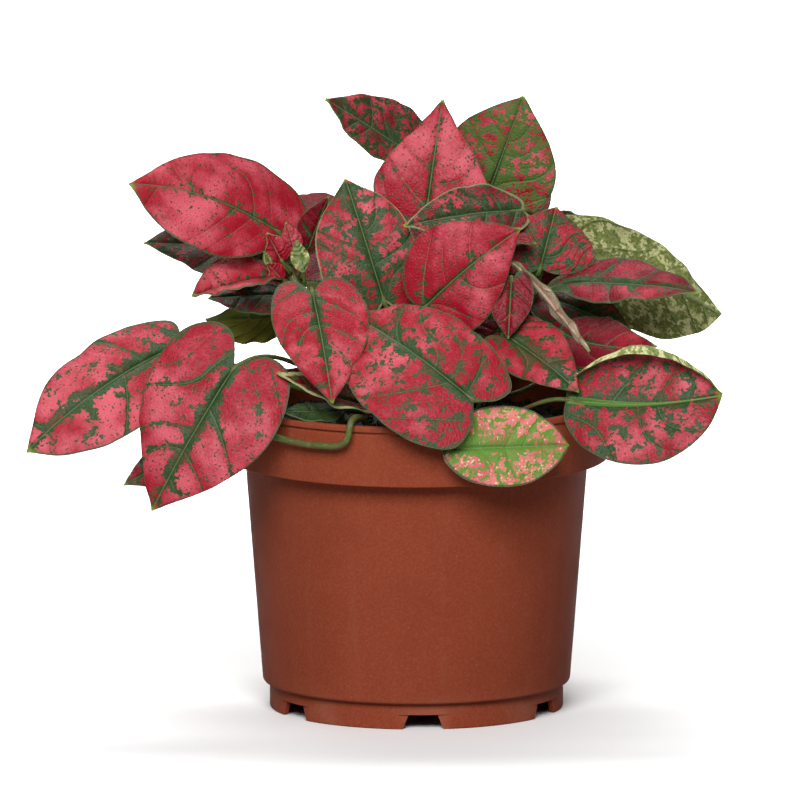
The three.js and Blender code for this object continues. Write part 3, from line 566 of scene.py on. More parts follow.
class Graph:
    """A node tree being wired."""

    def __init__(self, tree):
        self.tree = tree

    def feed(self, socket, value):
        if isinstance(value, bpy.types.NodeSocket):
            self.tree.links.new(value, socket)
        elif socket.type == "RGBA" and len(value) == 3:
            socket.default_value = (*value, 1)
        else:
            socket.default_value = value

    def node(self, kind, inputs=None, **settings):
        node = self.tree.nodes.new("ShaderNode" + kind)
        for key, value in settings.items():
            setattr(node, key, value)
        for key, value in (inputs or {}).items():
            self.feed(node.inputs[key], value)
        return node

    def calc(self, operation, *values):
        node = self.node("Math", operation=operation)
        for socket, value in zip(node.inputs, values):
            self.feed(socket, value)
        return node.outputs[0]

    def vector(self, operation, first, second):
        node = self.node("VectorMath", {0: first}, operation=operation)
        self.feed(node.inputs["Scale" if operation == "SCALE" else 1], second)
        return node.outputs[0]

    def mix(self, factor, first, second):
        return self.node("Mix", {0: factor, 6: first, 7: second}, data_type="RGBA").outputs[2]

    def ramp(self, value, start, end, low=0.0, high=1.0):
        """Runs smoothly from low to high as the value goes from start to end."""
        sockets = {"Value": value, "From Min": start, "From Max": end, "To Min": low, "To Max": high}
        return self.node("MapRange", sockets, interpolation_type="SMOOTHSTEP").outputs[0]

    def split(self, vector):
        return self.node("SeparateXYZ", {0: vector}).outputs

    def join(self, *parts):
        return self.node("CombineXYZ", dict(enumerate(parts))).outputs[0]

    def noise(self, vector, scale, detail=2.0, roughness=0.5):
        sockets = {"Vector": vector, "Scale": scale, "Detail": detail, "Roughness": roughness}
        return self.node("TexNoise", sockets)

    def voronoi(self, vector, scale, feature="F1", dimensions="3D"):
        return self.node("TexVoronoi", {"Vector": vector, "Scale": scale}, feature=feature,
                         voronoi_dimensions=dimensions)

    def hump(self, distance, width):
        """1 where the distance is 0, falling off over the width."""
        ratio = self.calc("DIVIDE", distance, width)
        return self.calc("EXPONENT", self.calc("MULTIPLY", self.calc("MULTIPLY", ratio, ratio), -1.0))

    def use(self, name, inputs):
        node = self.node("Group", node_tree=bpy.data.node_groups[name])
        for key, value in inputs.items():
            self.feed(node.inputs[key], value)
        return node.outputs

    def attribute(self, name):
        return self.node("Attribute", attribute_name=name).outputs["Vector"]


def new_group(name, inputs, outputs):
    """A node group with named sockets, and the graph, inputs and output sockets to wire it with."""
    tree = bpy.data.node_groups.new(name, "ShaderNodeTree")
    for label, (kind, default) in inputs.items():
        socket = tree.interface.new_socket(label, in_out="INPUT", socket_type="NodeSocket" + kind)
        socket.default_value = default
    for label, kind in outputs.items():
        tree.interface.new_socket(label, in_out="OUTPUT", socket_type="NodeSocket" + kind)
    entry = tree.nodes.new("NodeGroupInput").outputs
    leave = tree.nodes.new("NodeGroupOutput").inputs
    return Graph(tree), entry, leave


def new_material(name, tint):
    """An empty material with its graph and Principled shader. tint is its colour in solid view."""
    material = bpy.data.materials.new(name)
    material.use_nodes = True
    material.diffuse_color = (*tint, 1)
    graph = Graph(material.node_tree)
    return material, graph, material.node_tree.nodes["Principled BSDF"]


def build_vein_group():
    """Distances in millimetres from the midrib and from the nearest side vein, at a place on a blade."""
    graph, entry, leave = new_group(
        "Leaf veins",
        {"Place": ("Vector", (0, 0, 0)), "Length": ("Float", 40)},
        {"Midrib": "Float", "Lateral": "Float", "Strength": "Float"},
    )
    across, along, seed = graph.split(entry["Place"])
    out = graph.calc("ABSOLUTE", across)
    lean = graph.calc("MULTIPLY", out, graph.calc("MULTIPLY_ADD", out, LATERAL_BEND, LATERAL_LEAN))
    laterals = graph.calc("MULTIPLY_ADD", seed, LATERALS_MORE, LATERALS)
    phase = graph.calc("MULTIPLY", graph.calc("SUBTRACT", along, lean), laterals)
    turn = graph.calc("MULTIPLY_ADD", across, 0.7, graph.calc("MULTIPLY_ADD", along, 1.3, seed))
    stray = graph.calc("SINE", graph.calc("MULTIPLY", turn, 2 * math.pi))
    phase = graph.calc("MULTIPLY_ADD", stray, LATERAL_STRAY, phase)
    offset = graph.calc("ABSOLUTE", graph.calc("SUBTRACT", graph.calc("FRACT", phase), 0.5))
    step = graph.calc("DIVIDE", graph.calc("MULTIPLY", entry["Length"], LATERAL_SQUARE), laterals)
    which = graph.calc("MULTIPLY_ADD", graph.calc("ROUND", phase), 2.4, graph.calc("MULTIPLY", seed, 40.0))
    which = graph.calc("MULTIPLY_ADD", graph.calc("SIGN", across), 1.1, which)
    graph.feed(leave["Strength"], graph.calc("MULTIPLY_ADD", graph.calc("SINE", which), 0.38, 0.62))
    graph.feed(leave["Midrib"], graph.calc("MULTIPLY", out, entry["Length"]))
    graph.feed(leave["Lateral"], graph.calc("MULTIPLY", graph.calc("SUBTRACT", 0.5, offset), step))


PLACE_INPUT = {"Place": ("Vector", (0, 0, 0))}
SIZE_INPUT = {"Size": ("Vector", (40, 5, 0.5))}
BLOTCH_INPUTS = {
    "Coverage": ("Float", 0.3), "Pull": ("Float", 0.2), "Specks": ("Float", 0.2), "Cell": ("Float", 0.9),
    "Grain": ("Float", 0.2),
}
SIDE_OUTPUTS = {"Color": "Color", "Roughness": "Float", "Height": "Float"}


def build_blotch_group():
    """Blotches with a blocky edge that keep near the veins, and small dots between them."""
    graph, entry, leave = new_group(
        "Leaf blotches",
        {**PLACE_INPUT, "Length": ("Float", 40), **BLOTCH_INPUTS},
        {"Blotch": "Float", "Speck": "Float"},
    )
    seed = graph.split(entry["Place"])[2]
    on_leaf = graph.vector("SCALE", graph.vector("MULTIPLY", entry["Place"], (1, 1, 0)), entry["Length"])
    shift = graph.join(graph.calc("MULTIPLY", seed, 371.0), graph.calc("MULTIPLY", seed, 913.0), 0.0)
    place = graph.vector("ADD", on_leaf, shift)
    tear = graph.vector("SUBTRACT", graph.noise(place, 0.9).outputs["Color"], (0.5, 0.5, 0.5))
    torn = graph.vector("ADD", place, graph.vector("SCALE", tear, 1.5))
    fields = graph.voronoi(torn, graph.calc("DIVIDE", 1.0, entry["Cell"]), dimensions="2D")
    centre = fields.outputs["Position"]
    inverse = graph.calc("DIVIDE", 1.0, entry["Length"])
    centre_place = graph.vector("SCALE", graph.vector("SUBTRACT", centre, shift), inverse)
    centre_place = graph.vector("ADD", graph.vector("MULTIPLY", centre_place, (1, 1, 0)),
                                graph.join(0.0, 0.0, seed))
    veins = graph.use("Leaf veins", {"Place": centre_place, "Length": entry["Length"]})
    towards_tip = graph.ramp(graph.split(centre_place)[1], 0.45, 1.0, 1.0, 0.35)
    joints = graph.calc("MULTIPLY", graph.hump(veins["Midrib"], 4.4), graph.hump(veins["Lateral"], 1.8))
    joints = graph.calc("MULTIPLY", joints, veins["Strength"])
    bands = graph.calc("MAXIMUM", graph.hump(veins["Midrib"], 2.1), graph.calc("MULTIPLY", joints, 1.7))
    beside = graph.calc("MULTIPLY", graph.hump(veins["Lateral"], 0.8),
                        graph.calc("MULTIPLY", veins["Strength"], 0.8))
    bands = graph.calc("MAXIMUM", bands, beside)
    bands = graph.calc("MULTIPLY", bands, towards_tip)
    patches = graph.noise(centre, entry["Grain"], detail=4.0, roughness=0.72).outputs[0]
    level = graph.calc("MULTIPLY_ADD", bands, entry["Pull"], patches)
    threshold = graph.calc("MULTIPLY_ADD", entry["Coverage"], -0.33, 0.7)
    excess = graph.calc("SUBTRACT", level, threshold)
    graph.feed(leave["Blotch"], graph.ramp(excess, -0.012, 0.012))
    dots = graph.voronoi(torn, 0.95, dimensions="2D")
    crowd = graph.calc("MULTIPLY", entry["Specks"], graph.ramp(excess, -0.26, -0.03, 0.08, 1.0))
    chance = graph.calc("LESS_THAN", graph.split(dots.outputs["Color"])[0], crowd)
    reach = graph.calc("MULTIPLY_ADD", graph.split(dots.outputs["Color"])[1], 0.24, 0.1)
    dot = graph.ramp(graph.calc("SUBTRACT", dots.outputs["Distance"], reach), 0.03, -0.03)
    graph.feed(leave["Speck"], graph.calc("MULTIPLY", dot, chance))


def build_upper_group():
    """Colour, roughness and relief of a blade's upper side, with painted shade and a painted highlight."""
    graph, entry, leave = new_group(
        "Leaf upper side",
        {
            **PLACE_INPUT, **SIZE_INPUT, **BLOTCH_INPUTS,
            "Speck": ("Color", (0.05, 0.05, 0.03, 1)), "Rib": ("Color", (0.1, 0.15, 0.06, 1)),
            "Rib width": ("Float", 0.8),
            "Pale": ("Color", (0.7, 0.2, 0.2, 1)), "Deep": ("Color", (0.4, 0.05, 0.08, 1)),
            "Ground": ("Color", (0.06, 0.1, 0.05, 1)), "Vein": ("Color", (0.2, 0.3, 0.12, 1)),
            "Rim": ("Color", (0.1, 0.1, 0.05, 1)), "Rim width": ("Float", 0.4),
            "Tip": ("Color", (0.3, 0.35, 0.05, 1)),
        },
        SIDE_OUTPUTS,
    )
    blade_length, inward, tone = graph.split(entry["Size"])
    _, along, seed = graph.split(entry["Place"])
    flat = graph.vector("SCALE", graph.vector("MULTIPLY", entry["Place"], (1, 1, 0)), blade_length)
    place = graph.vector("ADD", flat, graph.join(0.0, 0.0, graph.calc("MULTIPLY", seed, 57.0)))
    veins = graph.use("Leaf veins", {"Place": entry["Place"], "Length": blade_length})
    marks = graph.use("Leaf blotches", {
        "Place": entry["Place"], "Length": blade_length, **{label: entry[label] for label in BLOTCH_INPUTS},
    })
    broad = graph.noise(place, 0.1, detail=2.0).outputs[0]
    fine = graph.noise(place, 1.1, detail=3.0, roughness=0.6).outputs[0]
    # Painted shade: the pink deepens along the midrib and the side veins, where the blade sinks between its
    # swellings.
    valley_shade = graph.calc(
        "MAXIMUM", graph.hump(veins["Midrib"], 2.6),
        graph.calc("MULTIPLY", graph.hump(veins["Lateral"], 1.5), veins["Strength"])
    )
    depth = graph.calc("ADD", tone, 0.08)
    depth = graph.calc("MULTIPLY_ADD", graph.calc("SUBTRACT", broad, 0.5), 2.3, depth)
    depth = graph.calc("MULTIPLY_ADD", valley_shade, 0.24, depth)
    depth = graph.calc("ADD", graph.ramp(along, 0.0, 0.5, 0.42, -0.05), depth)
    depth = graph.calc("MULTIPLY_ADD", graph.calc("SUBTRACT", fine, 0.5), 0.6, depth)
    depth = graph.calc("MULTIPLY_ADD", graph.ramp(inward, 3.0, 0.0), 0.2, depth)
    pink = graph.mix(graph.ramp(depth, -0.1, 1.1), entry["Pale"], entry["Deep"])
    wander = graph.vector("SCALE", graph.noise(place, 0.9).outputs["Color"], 0.6)
    web = graph.voronoi(graph.vector("ADD", place, wander), 0.95, feature="DISTANCE_TO_EDGE")
    # Painted shade: the pink deepens along the web's edges, which the relief further down sinks into
    # creases.
    crease_shade = graph.ramp(web.outputs["Distance"], 0.0, 0.14, 1.0, 0.0)
    pink = graph.mix(graph.calc("MULTIPLY", crease_shade, 0.16), pink, entry["Deep"])
    green = graph.mix(graph.ramp(fine, 0.4, 0.8, 0.0, 0.22), entry["Ground"], entry["Vein"])
    green = graph.mix(graph.calc("MULTIPLY", graph.ramp(broad, 0.45, 0.75), 0.2), green, entry["Deep"])
    colours = graph.mix(graph.calc("MULTIPLY", marks["Speck"], 0.85), pink, entry["Speck"])
    colours = graph.mix(marks["Blotch"], colours, green)
    fading = graph.calc("MULTIPLY", graph.ramp(inward, 0.5, 5.0, 0.05, 0.34), graph.ramp(along, 0.95, 0.6))
    fading = graph.calc("MULTIPLY", fading, veins["Strength"])
    side_line = graph.calc("MULTIPLY", graph.ramp(veins["Lateral"], 0.2, 0.06), fading)
    colours = graph.mix(side_line, colours, entry["Vein"])
    rib_width = graph.calc("MULTIPLY", graph.ramp(along, 0.0, 0.85, 1.0, 0.25), entry["Rib width"])
    rib_width = graph.calc("MULTIPLY", rib_width, graph.ramp(blade_length, 6.0, 36.0, 0.25, 1.0))
    rib = graph.calc("DIVIDE", veins["Midrib"], rib_width)
    colours = graph.mix(graph.ramp(rib, 1.15, 0.8, 0.0, 0.9), colours, entry["Rib"])
    # Painted highlight: a thin pale line in the vein colour down the middle of the sunken midrib.
    colours = graph.mix(graph.ramp(veins["Midrib"], 0.24, 0.1, 0.0, 0.5), colours, entry["Vein"])
    ragged = graph.calc("MULTIPLY", entry["Rim width"], graph.calc("MULTIPLY_ADD", fine, 1.2, 0.5))
    ragged = graph.calc("MULTIPLY", ragged, graph.ramp(blade_length, 6.0, 36.0, 0.25, 1.0))
    rim = graph.calc("DIVIDE", inward, ragged)
    colours = graph.mix(graph.ramp(rim, 1.2, 0.7, 0.0, 0.85), colours, entry["Rim"])
    colours = graph.mix(graph.ramp(inward, 0.1, 0.0, 0.0, 0.6), colours, entry["Vein"])
    colours = graph.mix(graph.ramp(along, 0.95, 1.0, 0.0, 0.85), colours, entry["Tip"])
    graph.feed(leave["Color"], colours)
    graph.feed(leave["Roughness"], graph.ramp(fine, 0.2, 0.8, 0.4, 0.56))
    height = graph.calc("MULTIPLY", graph.ramp(web.outputs["Distance"], 0.0, 0.5), 0.3)
    ditch = graph.calc("MULTIPLY", graph.hump(veins["Lateral"], 0.4), veins["Strength"])
    height = graph.calc("MULTIPLY_ADD", ditch, -0.45, height)
    height = graph.calc("MULTIPLY_ADD", graph.hump(veins["Midrib"], 0.5), -0.7, height)
    graph.feed(leave["Height"], graph.calc("MULTIPLY_ADD", fine, 0.3, height))


def build_under_group():
    """Colour and relief of a blade's underside, where the veins stand out."""
    graph, entry, leave = new_group(
        "Leaf underside",
        {
            **PLACE_INPUT, **SIZE_INPUT,
            "Coverage": ("Float", 0.3), "Cell": ("Float", 0.9), "Grain": ("Float", 0.2),
            "Ground": ("Color", (0.1, 0.12, 0.03, 1)), "Mottle": ("Color", (0.5, 0.5, 0.3, 1)),
            "Vein": ("Color", (0.3, 0.35, 0.15, 1)),
        },
        SIDE_OUTPUTS,
    )
    blade_length, inward, _ = graph.split(entry["Size"])
    veins = graph.use("Leaf veins", {"Place": entry["Place"], "Length": blade_length})
    marks = graph.use("Leaf blotches", {
        "Place": entry["Place"], "Length": blade_length, "Coverage": entry["Coverage"], "Pull": -0.12,
        "Specks": 0.4, "Cell": entry["Cell"], "Grain": entry["Grain"],
    })
    place = graph.vector("SCALE", entry["Place"], blade_length)
    fine = graph.noise(place, 1.0, detail=3.0, roughness=0.6).outputs[0]
    mottle = graph.calc("MULTIPLY", marks["Blotch"], graph.ramp(fine, 0.3, 0.6, 0.45, 1.0))
    colours = graph.mix(graph.ramp(fine, 0.3, 0.75, 0.0, 0.35), entry["Ground"], entry["Mottle"])
    colours = graph.mix(mottle, colours, entry["Mottle"])
    side_line = graph.calc("MULTIPLY", graph.ramp(veins["Lateral"], 0.4, 0.12),
                           graph.ramp(inward, 0.5, 6.0, 0.0, 0.6))
    colours = graph.mix(side_line, colours, entry["Vein"])
    colours = graph.mix(graph.ramp(veins["Midrib"], 0.9, 0.5, 0.0, 0.8), colours, entry["Vein"])
    graph.feed(leave["Color"], colours)
    graph.feed(leave["Roughness"], graph.ramp(fine, 0.2, 0.8, 0.5, 0.7))
    height = graph.calc("MULTIPLY", fine, 0.4)
    height = graph.calc("MULTIPLY_ADD", graph.hump(veins["Lateral"], 0.4), 0.7, height)
    graph.feed(leave["Height"], height)


def build_grime_group():
    """Masks for dusty surfaces, from the place in metres: broad stains, streaks that run down, and dots."""
    graph, entry, leave = new_group(
        "Grime",
        {"Place": ("Vector", (0, 0, 0)), "Size": ("Float", 0.01)},
        {"Stain": "Float", "Streak": "Float", "Dots": "Float"},
    )
    scaled = graph.vector("SCALE", entry["Place"], graph.calc("DIVIDE", 1.0, entry["Size"]))
    clouds = graph.noise(scaled, 0.5, detail=5.0, roughness=0.6).outputs[0]
    graph.feed(leave["Stain"], graph.ramp(clouds, 0.42, 0.68))
    drawn = graph.vector("MULTIPLY", scaled, (2.2, 2.2, 0.12))
    graph.feed(leave["Streak"], graph.ramp(graph.noise(drawn, 1.0, detail=4.0).outputs[0], 0.5, 0.75))
    dots = graph.voronoi(scaled, 4.0)
    chance = graph.calc("LESS_THAN", graph.split(dots.outputs["Color"])[0], 0.35)
    dot = graph.ramp(dots.outputs["Distance"], 0.16, 0.06)
    graph.feed(leave["Dots"], graph.calc("MULTIPLY", dot, chance))


GROUPS = {
    "Leaf veins": build_vein_group,
    "Leaf blotches": build_blotch_group,
    "Leaf upper side": build_upper_group,
    "Leaf underside": build_under_group,
    "Grime": build_grime_group,
}


def need_groups(*names):
    for name in names:
        if name not in bpy.data.node_groups:
            GROUPS[name]()


# ---------------------------------------------------------------- materials

def relief(graph, shader, height, distance):
    bump = graph.node("Bump", {"Height": height, "Strength": 1.0, "Distance": distance})
    graph.feed(shader.inputs["Normal"], bump.outputs["Normal"])


def blade_material(name, group, look, tint, gloss, depth):
    """One side of a blade. look: values for the group's sockets of the same names. tint: which of them is
    the colour in solid view. gloss: level of the reflections. depth: height of the relief."""
    if name in bpy.data.materials:
        return bpy.data.materials[name]
    need_groups("Leaf veins", "Leaf blotches", group)
    leaves = bpy.context.scene.plant_leaves
    values = {
        key.replace("_", " ").capitalize(): getattr(leaves, value) if isinstance(value, str) else value
        for key, value in look.items()
    }
    material, graph, shader = new_material(name, values[tint])
    shader.inputs["Specular IOR Level"].default_value = gloss
    side = graph.use(group, {
        "Place": graph.attribute("leaf_place"), "Size": graph.attribute("leaf_size"),
        "Cell": leaves.cell / MM, "Vein": leaves.vein, **values,
    })
    graph.feed(shader.inputs["Base Color"], side["Color"])
    graph.feed(shader.inputs["Roughness"], side["Roughness"])
    relief(graph, shader, side["Height"], depth)
    return material


def upper_material(look):
    values = {**COMMON_LOOK, **LOOKS[look]}
    return blade_material("leaf upper " + look, "Leaf upper side", values, "Pale", 0.2, 0.35 * MM)


def under_material(kind):
    values = UNDERSIDES[kind]
    return blade_material("leaf underside " + kind, "Leaf underside", values, "Ground", 0.3, 0.3 * MM)


def stem_material():
    """Fleshy stems and petioles: green with a red flush, fine ridges and dots."""
    name = "stem flesh"
    if name in bpy.data.materials:
        return bpy.data.materials[name]
    stems = bpy.context.scene.plant_stems
    material, graph, shader = new_material(name, stems.green)
    place = graph.node("TexCoord").outputs["Object"]
    around, along, seed = graph.split(graph.attribute("tube_place"))
    flush = graph.ramp(graph.noise(place, 90.0, detail=3.0).outputs[0], 0.42, 0.7)
    drawn = graph.join(graph.calc("MULTIPLY", around, 9.0), graph.calc("MULTIPLY", along, 0.25), seed)
    ridges = graph.noise(drawn, 2.0, detail=3.0).outputs[0]
    dots = graph.voronoi(place, 1400.0)
    colours = graph.mix(graph.calc("MULTIPLY", flush, 0.6), stems.green, stems.red)
    pale_ridge, dark_dot = (0.42, 0.5, 0.22), (0.1, 0.05, 0.03)
    colours = graph.mix(graph.ramp(ridges, 0.45, 0.8, 0.0, 0.35), colours, pale_ridge)
    colours = graph.mix(graph.ramp(dots.outputs["Distance"], 0.2, 0.1, 0.0, 0.4), colours, dark_dot)
    graph.feed(shader.inputs["Base Color"], colours)
    graph.feed(shader.inputs["Roughness"], graph.ramp(ridges, 0.2, 0.8, 0.35, 0.55))
    relief(graph, shader, ridges, 0.25 * MM)
    return material


def plastic_material():
    """Moulded satin plastic with dust, water marks and a fine skin."""
    need_groups("Grime")
    pot = bpy.context.scene.plant_pot
    material, graph, shader = new_material("pot plastic", pot.plastic)
    shader.inputs["Specular IOR Level"].default_value = 0.04
    place = graph.node("TexCoord").outputs["Object"]
    grime = graph.use("Grime", {"Place": place, "Size": 12 * MM})
    skin = graph.noise(place, 1500.0, detail=2.0).outputs[0]
    height = graph.split(place)[2]
    low = graph.ramp(height, 14 * MM, 2 * MM)
    colours = graph.mix(graph.ramp(skin, 0.35, 0.75, 0.0, 0.14), pot.plastic, pot.dust)
    colours = graph.mix(graph.calc("MULTIPLY", grime["Stain"], 0.12), colours, pot.plastic_dark)
    colours = graph.mix(graph.calc("MULTIPLY", grime["Streak"], 0.05), colours, pot.dust)
    colours = graph.mix(graph.calc("MULTIPLY", grime["Dots"], 0.16), colours, pot.dust)
    splashed = graph.calc("MULTIPLY", low, grime["Stain"])
    colours = graph.mix(graph.calc("MULTIPLY", splashed, 0.35), colours, pot.dust)
    graph.feed(shader.inputs["Base Color"], colours)
    rough = graph.calc("MULTIPLY_ADD", grime["Stain"], 0.1, graph.ramp(skin, 0.2, 0.8, 0.38, 0.5))
    graph.feed(shader.inputs["Roughness"], rough)
    relief(graph, shader, graph.calc("MULTIPLY_ADD", grime["Dots"], 0.4, skin), 0.04 * MM)
    return material


def soil_material():
    """Moist dark peat with drier fibres; the crumbs differ in tone."""
    soil = bpy.context.scene.plant_soil
    material, graph, shader = new_material("peat", soil.peat)
    place = graph.node("TexCoord").outputs["Object"]
    tone = graph.split(graph.attribute("soil_tone"))[0]
    fine = graph.noise(place, 900.0, detail=5.0, roughness=0.65).outputs[0]
    patches = graph.noise(place, 160.0, detail=3.0).outputs[0]
    dry = graph.calc("MULTIPLY", graph.ramp(fine, 0.45, 0.75), graph.ramp(patches, 0.4, 0.7, 0.2, 0.9))
    colours = graph.mix(dry, soil.peat, soil.bark)
    colours = graph.mix(graph.ramp(tone, 0.75, 1.0, 0.0, 0.7), colours, soil.bark)
    near_black = (0.004, 0.003, 0.003)
    colours = graph.mix(graph.ramp(tone, 0.0, 0.4, 0.5, 0.0), colours, near_black)
    graph.feed(shader.inputs["Base Color"], colours)
    graph.feed(shader.inputs["Roughness"], graph.ramp(fine, 0.2, 0.8, 0.6, 0.95))
    relief(graph, shader, fine, 0.5 * MM)
    return material


# ---------------------------------------------------------------- shapes

def unit(vectors):
    return vectors / np.maximum(np.linalg.norm(vectors, axis=-1, keepdims=True), 1e-12)


def smooth_step(values, start, end):
    share_done = np.clip((values - start) / (end - start), 0, 1)
    return share_done * share_done * (3 - 2 * share_done)


def dice(name):
    """Random numbers that depend only on the name."""
    return np.random.default_rng(zlib.crc32(name.encode()))


def full_turn(sides):
    """Angles evenly round a circle."""
    return np.arange(sides) / sides * 2 * math.pi


def distances(path):
    """How far along a path each of its points is."""
    return np.concatenate([[0], np.cumsum(np.linalg.norm(np.diff(path, axis=0), axis=1))])


def cubic(p1, p2, leave, arrive, t):
    """Where a curve is at t, from 0 to 1, that runs from p1 to p2 and has the given slopes there."""
    squared = (3 * (p2 - p1) - 2 * leave - arrive) * t ** 2
    cubed = (2 * (p1 - p2) + leave + arrive) * t ** 3
    return p1 + leave * t + squared + cubed


def spline(points):
    """A smooth curve through the points, with the same number of steps between each two of them."""
    points = np.asarray(points, float)
    padded = np.vstack([2 * points[0] - points[1], points, 2 * points[-1] - points[-2]])
    curve = []
    for index in range(len(points) - 1):
        p0, p1, p2, p3 = padded[index:index + 4]
        spans = [max(np.linalg.norm(b - a), 1e-9) ** 0.5 for a, b in ((p0, p1), (p1, p2), (p2, p3))]
        leave = ((p1 - p0) / spans[0] - (p2 - p0) / (spans[0] + spans[1]) + (p2 - p1) / spans[1]) * spans[1]
        arrive = ((p2 - p1) / spans[1] - (p3 - p1) / (spans[1] + spans[2]) + (p3 - p2) / spans[2]) * spans[1]
        t = np.linspace(0, 1, SPLINE_STEPS, endpoint=False)[:, None]
        curve.append(cubic(p1, p2, leave, arrive, t))
    curve.append(points[-1:])
    return np.vstack(curve)


def even(path, count):
    """The same path with its points an even distance apart."""
    reached = distances(path)
    wanted = np.linspace(0, reached[-1], count)
    return np.stack([np.interp(wanted, reached, path[:, axis]) for axis in range(3)], axis=1)


class Shell:
    """Closed skins made of rings of points, collected into one mesh. Lengths are in millimetres."""

    def __init__(self):
        self.points, self.quads, self.triangles = [], [], []
        self.quad_slots, self.triangle_slots = [], []
        self.quad_uvs, self.triangle_uvs = [], []
        self.marks = {}
        self.count = 0

    def add(self, rings, slots, room=(0.01, 0.01, 0.99, 0.99), **marks):
        """rings: rows of points round the skin, from its start to its end. slots: a material slot for each
        column. room: the part of the texture square that this skin takes. marks: vectors for each point."""
        rows, columns = rings.shape[:2]
        left, low, right, high = room
        margin = 0.03 * (high - low)  # for the triangles that close each end
        flat = rings.reshape(-1, 3)
        ends = np.stack([rings[0].mean(0), rings[-1].mean(0)])
        self.points.append(np.vstack([flat, ends]))
        for name, values in marks.items():
            closing = np.stack([values[0].mean(0), values[-1].mean(0)])
            self.marks.setdefault(name, []).append(np.vstack([values.reshape(-1, 3), closing]))
        base = self.count
        row, column = np.meshgrid(np.arange(rows - 1), np.arange(columns), indexing="ij")
        following = (column + 1) % columns
        corners = [row * columns + column, row * columns + following,
                   (row + 1) * columns + following, (row + 1) * columns + column]
        self.quads.append(base + np.stack(corners, -1).reshape(-1, 4))
        across = left + (right - left) * np.stack([column, column + 1, column + 1, column], -1) / columns
        up = np.stack([row, row, row + 1, row + 1], -1) / (rows - 1)
        up = low + margin + (high - low - 2 * margin) * up
        self.quad_uvs.append(np.stack([across, up], -1).reshape(-1, 4, 2))
        slots = np.broadcast_to(np.asarray(slots), (columns,))
        self.quad_slots.append(np.broadcast_to(slots, (rows - 1, columns)).reshape(-1))
        column = np.arange(columns)
        following = (column + 1) % columns
        last = (rows - 1) * columns
        closings = (
            (following, column, column + 1, column, low + margin, low),
            (last + column, last + following, column, column + 1, high - margin, high),
        )
        for end, (first, second, first_across, second_across, near, far) in enumerate(closings):
            middle = np.full(columns, rows * columns + end)
            self.triangles.append(base + np.stack([first, second, middle], -1))
            across = np.stack([first_across, second_across, column + 0.5], -1) / columns
            up = np.broadcast_to([near, near, far], (columns, 3))
            self.triangle_uvs.append(np.stack([across * (right - left) + left, up], -1))
            self.triangle_slots.append(slots)
        self.count += len(flat) + 2

    def mesh(self, name, materials, sharp=50):
        mesh = bpy.data.meshes.new(name)
        points = np.vstack(self.points) * MM
        faces = np.vstack(self.quads).tolist() + np.vstack(self.triangles).tolist()
        mesh.from_pydata(points.tolist(), [], faces)
        slots = np.concatenate(self.quad_slots + self.triangle_slots).astype(np.int32)
        mesh.polygons.foreach_set("material_index", slots)
        texture = np.vstack([np.vstack(uvs).reshape(-1, 2) for uvs in (self.quad_uvs, self.triangle_uvs)])
        mesh.uv_layers.new(name="OFBake").data.foreach_set("uv", texture.astype(np.float32).ravel())
        for mark, values in self.marks.items():
            layer = mesh.attributes.new(mark, "FLOAT_VECTOR", "POINT")
            layer.data.foreach_set("vector", np.vstack(values).astype(np.float32).ravel())
        for material in materials:
            mesh.materials.append(material)
        mesh.shade_smooth()
        mesh.set_sharp_from_angle(angle=math.radians(sharp))
        return mesh


def tube(path, radii, sides):
    """Rings round a path, without twist."""
    forward = unit(np.gradient(path, axis=0))
    across = np.array([1.0, 0, 0])
    if abs(forward[0, 0]) > 0.95:
        across = np.array([0, 1.0, 0])
    angles = full_turn(sides)
    rings = []
    for centre, ahead, radius in zip(path, forward, radii):
        across = unit(across - ahead * (across @ ahead))
        up = np.cross(ahead, across)
        rings.append(centre + radius * (np.cos(angles)[:, None] * across + np.sin(angles)[:, None] * up))
    return np.array(rings)


def tube_marks(path, sides, seed):
    """For each point of a tube: how far round it is, from 0 to 1 and back, how far along, and the seed."""
    marks = np.zeros((len(path), sides, 3))
    marks[..., 0] = np.abs(np.arange(sides) / sides * 2 - 1)
    marks[..., 1] = distances(path)[:, None]
    marks[..., 2] = seed
    return marks


def rounded(corners, facets=4):
    """Points (r, z) of a profile whose corners (r, z, radius) are rounded."""
    points = []
    for index, (r, z, radius) in enumerate(corners):
        here = np.array([r, z], float)
        if not radius or index in (0, len(corners) - 1):
            points.append(here)
            continue
        before = np.array(corners[index - 1][:2], float) - here
        after = np.array(corners[index + 1][:2], float) - here
        turn = math.acos(float(np.clip(unit(before) @ unit(after), -1, 1)))
        cut = radius / math.tan(turn / 2)
        cut = min(cut, 0.48 * np.linalg.norm(before), 0.48 * np.linalg.norm(after))
        start, end = here + unit(before) * cut, here + unit(after) * cut
        for step in range(facets + 1):
            t = step / facets
            points.append(start * (1 - t) ** 2 + 2 * here * t * (1 - t) + end * t ** 2)
    return np.array(points)


def lathe(name, profile, sides):
    """A closed solid of revolution whose profile starts and ends on the axis."""
    angles = full_turn(sides)
    inner = profile[1:-1]
    rings = np.stack([
        np.outer(inner[:, 0], np.cos(angles)), np.outer(inner[:, 0], np.sin(angles)),
        np.repeat(inner[:, 1:], sides, axis=1),
    ], -1)
    points = np.vstack([rings.reshape(-1, 3), [[0, 0, profile[0, 1]], [0, 0, profile[-1, 1]]]]) * MM
    rows = len(inner)
    faces = []
    for side in range(sides):
        following = (side + 1) % sides
        faces.append((following, side, rows * sides))
        for row in range(rows - 1):
            low, high = row * sides, (row + 1) * sides
            faces.append((low + side, low + following, high + following, high + side))
        faces.append(((rows - 1) * sides + side, (rows - 1) * sides + following, rows * sides + 1))
    mesh = bpy.data.meshes.new(name)
    mesh.from_pydata(points.tolist(), [], faces)
    return mesh


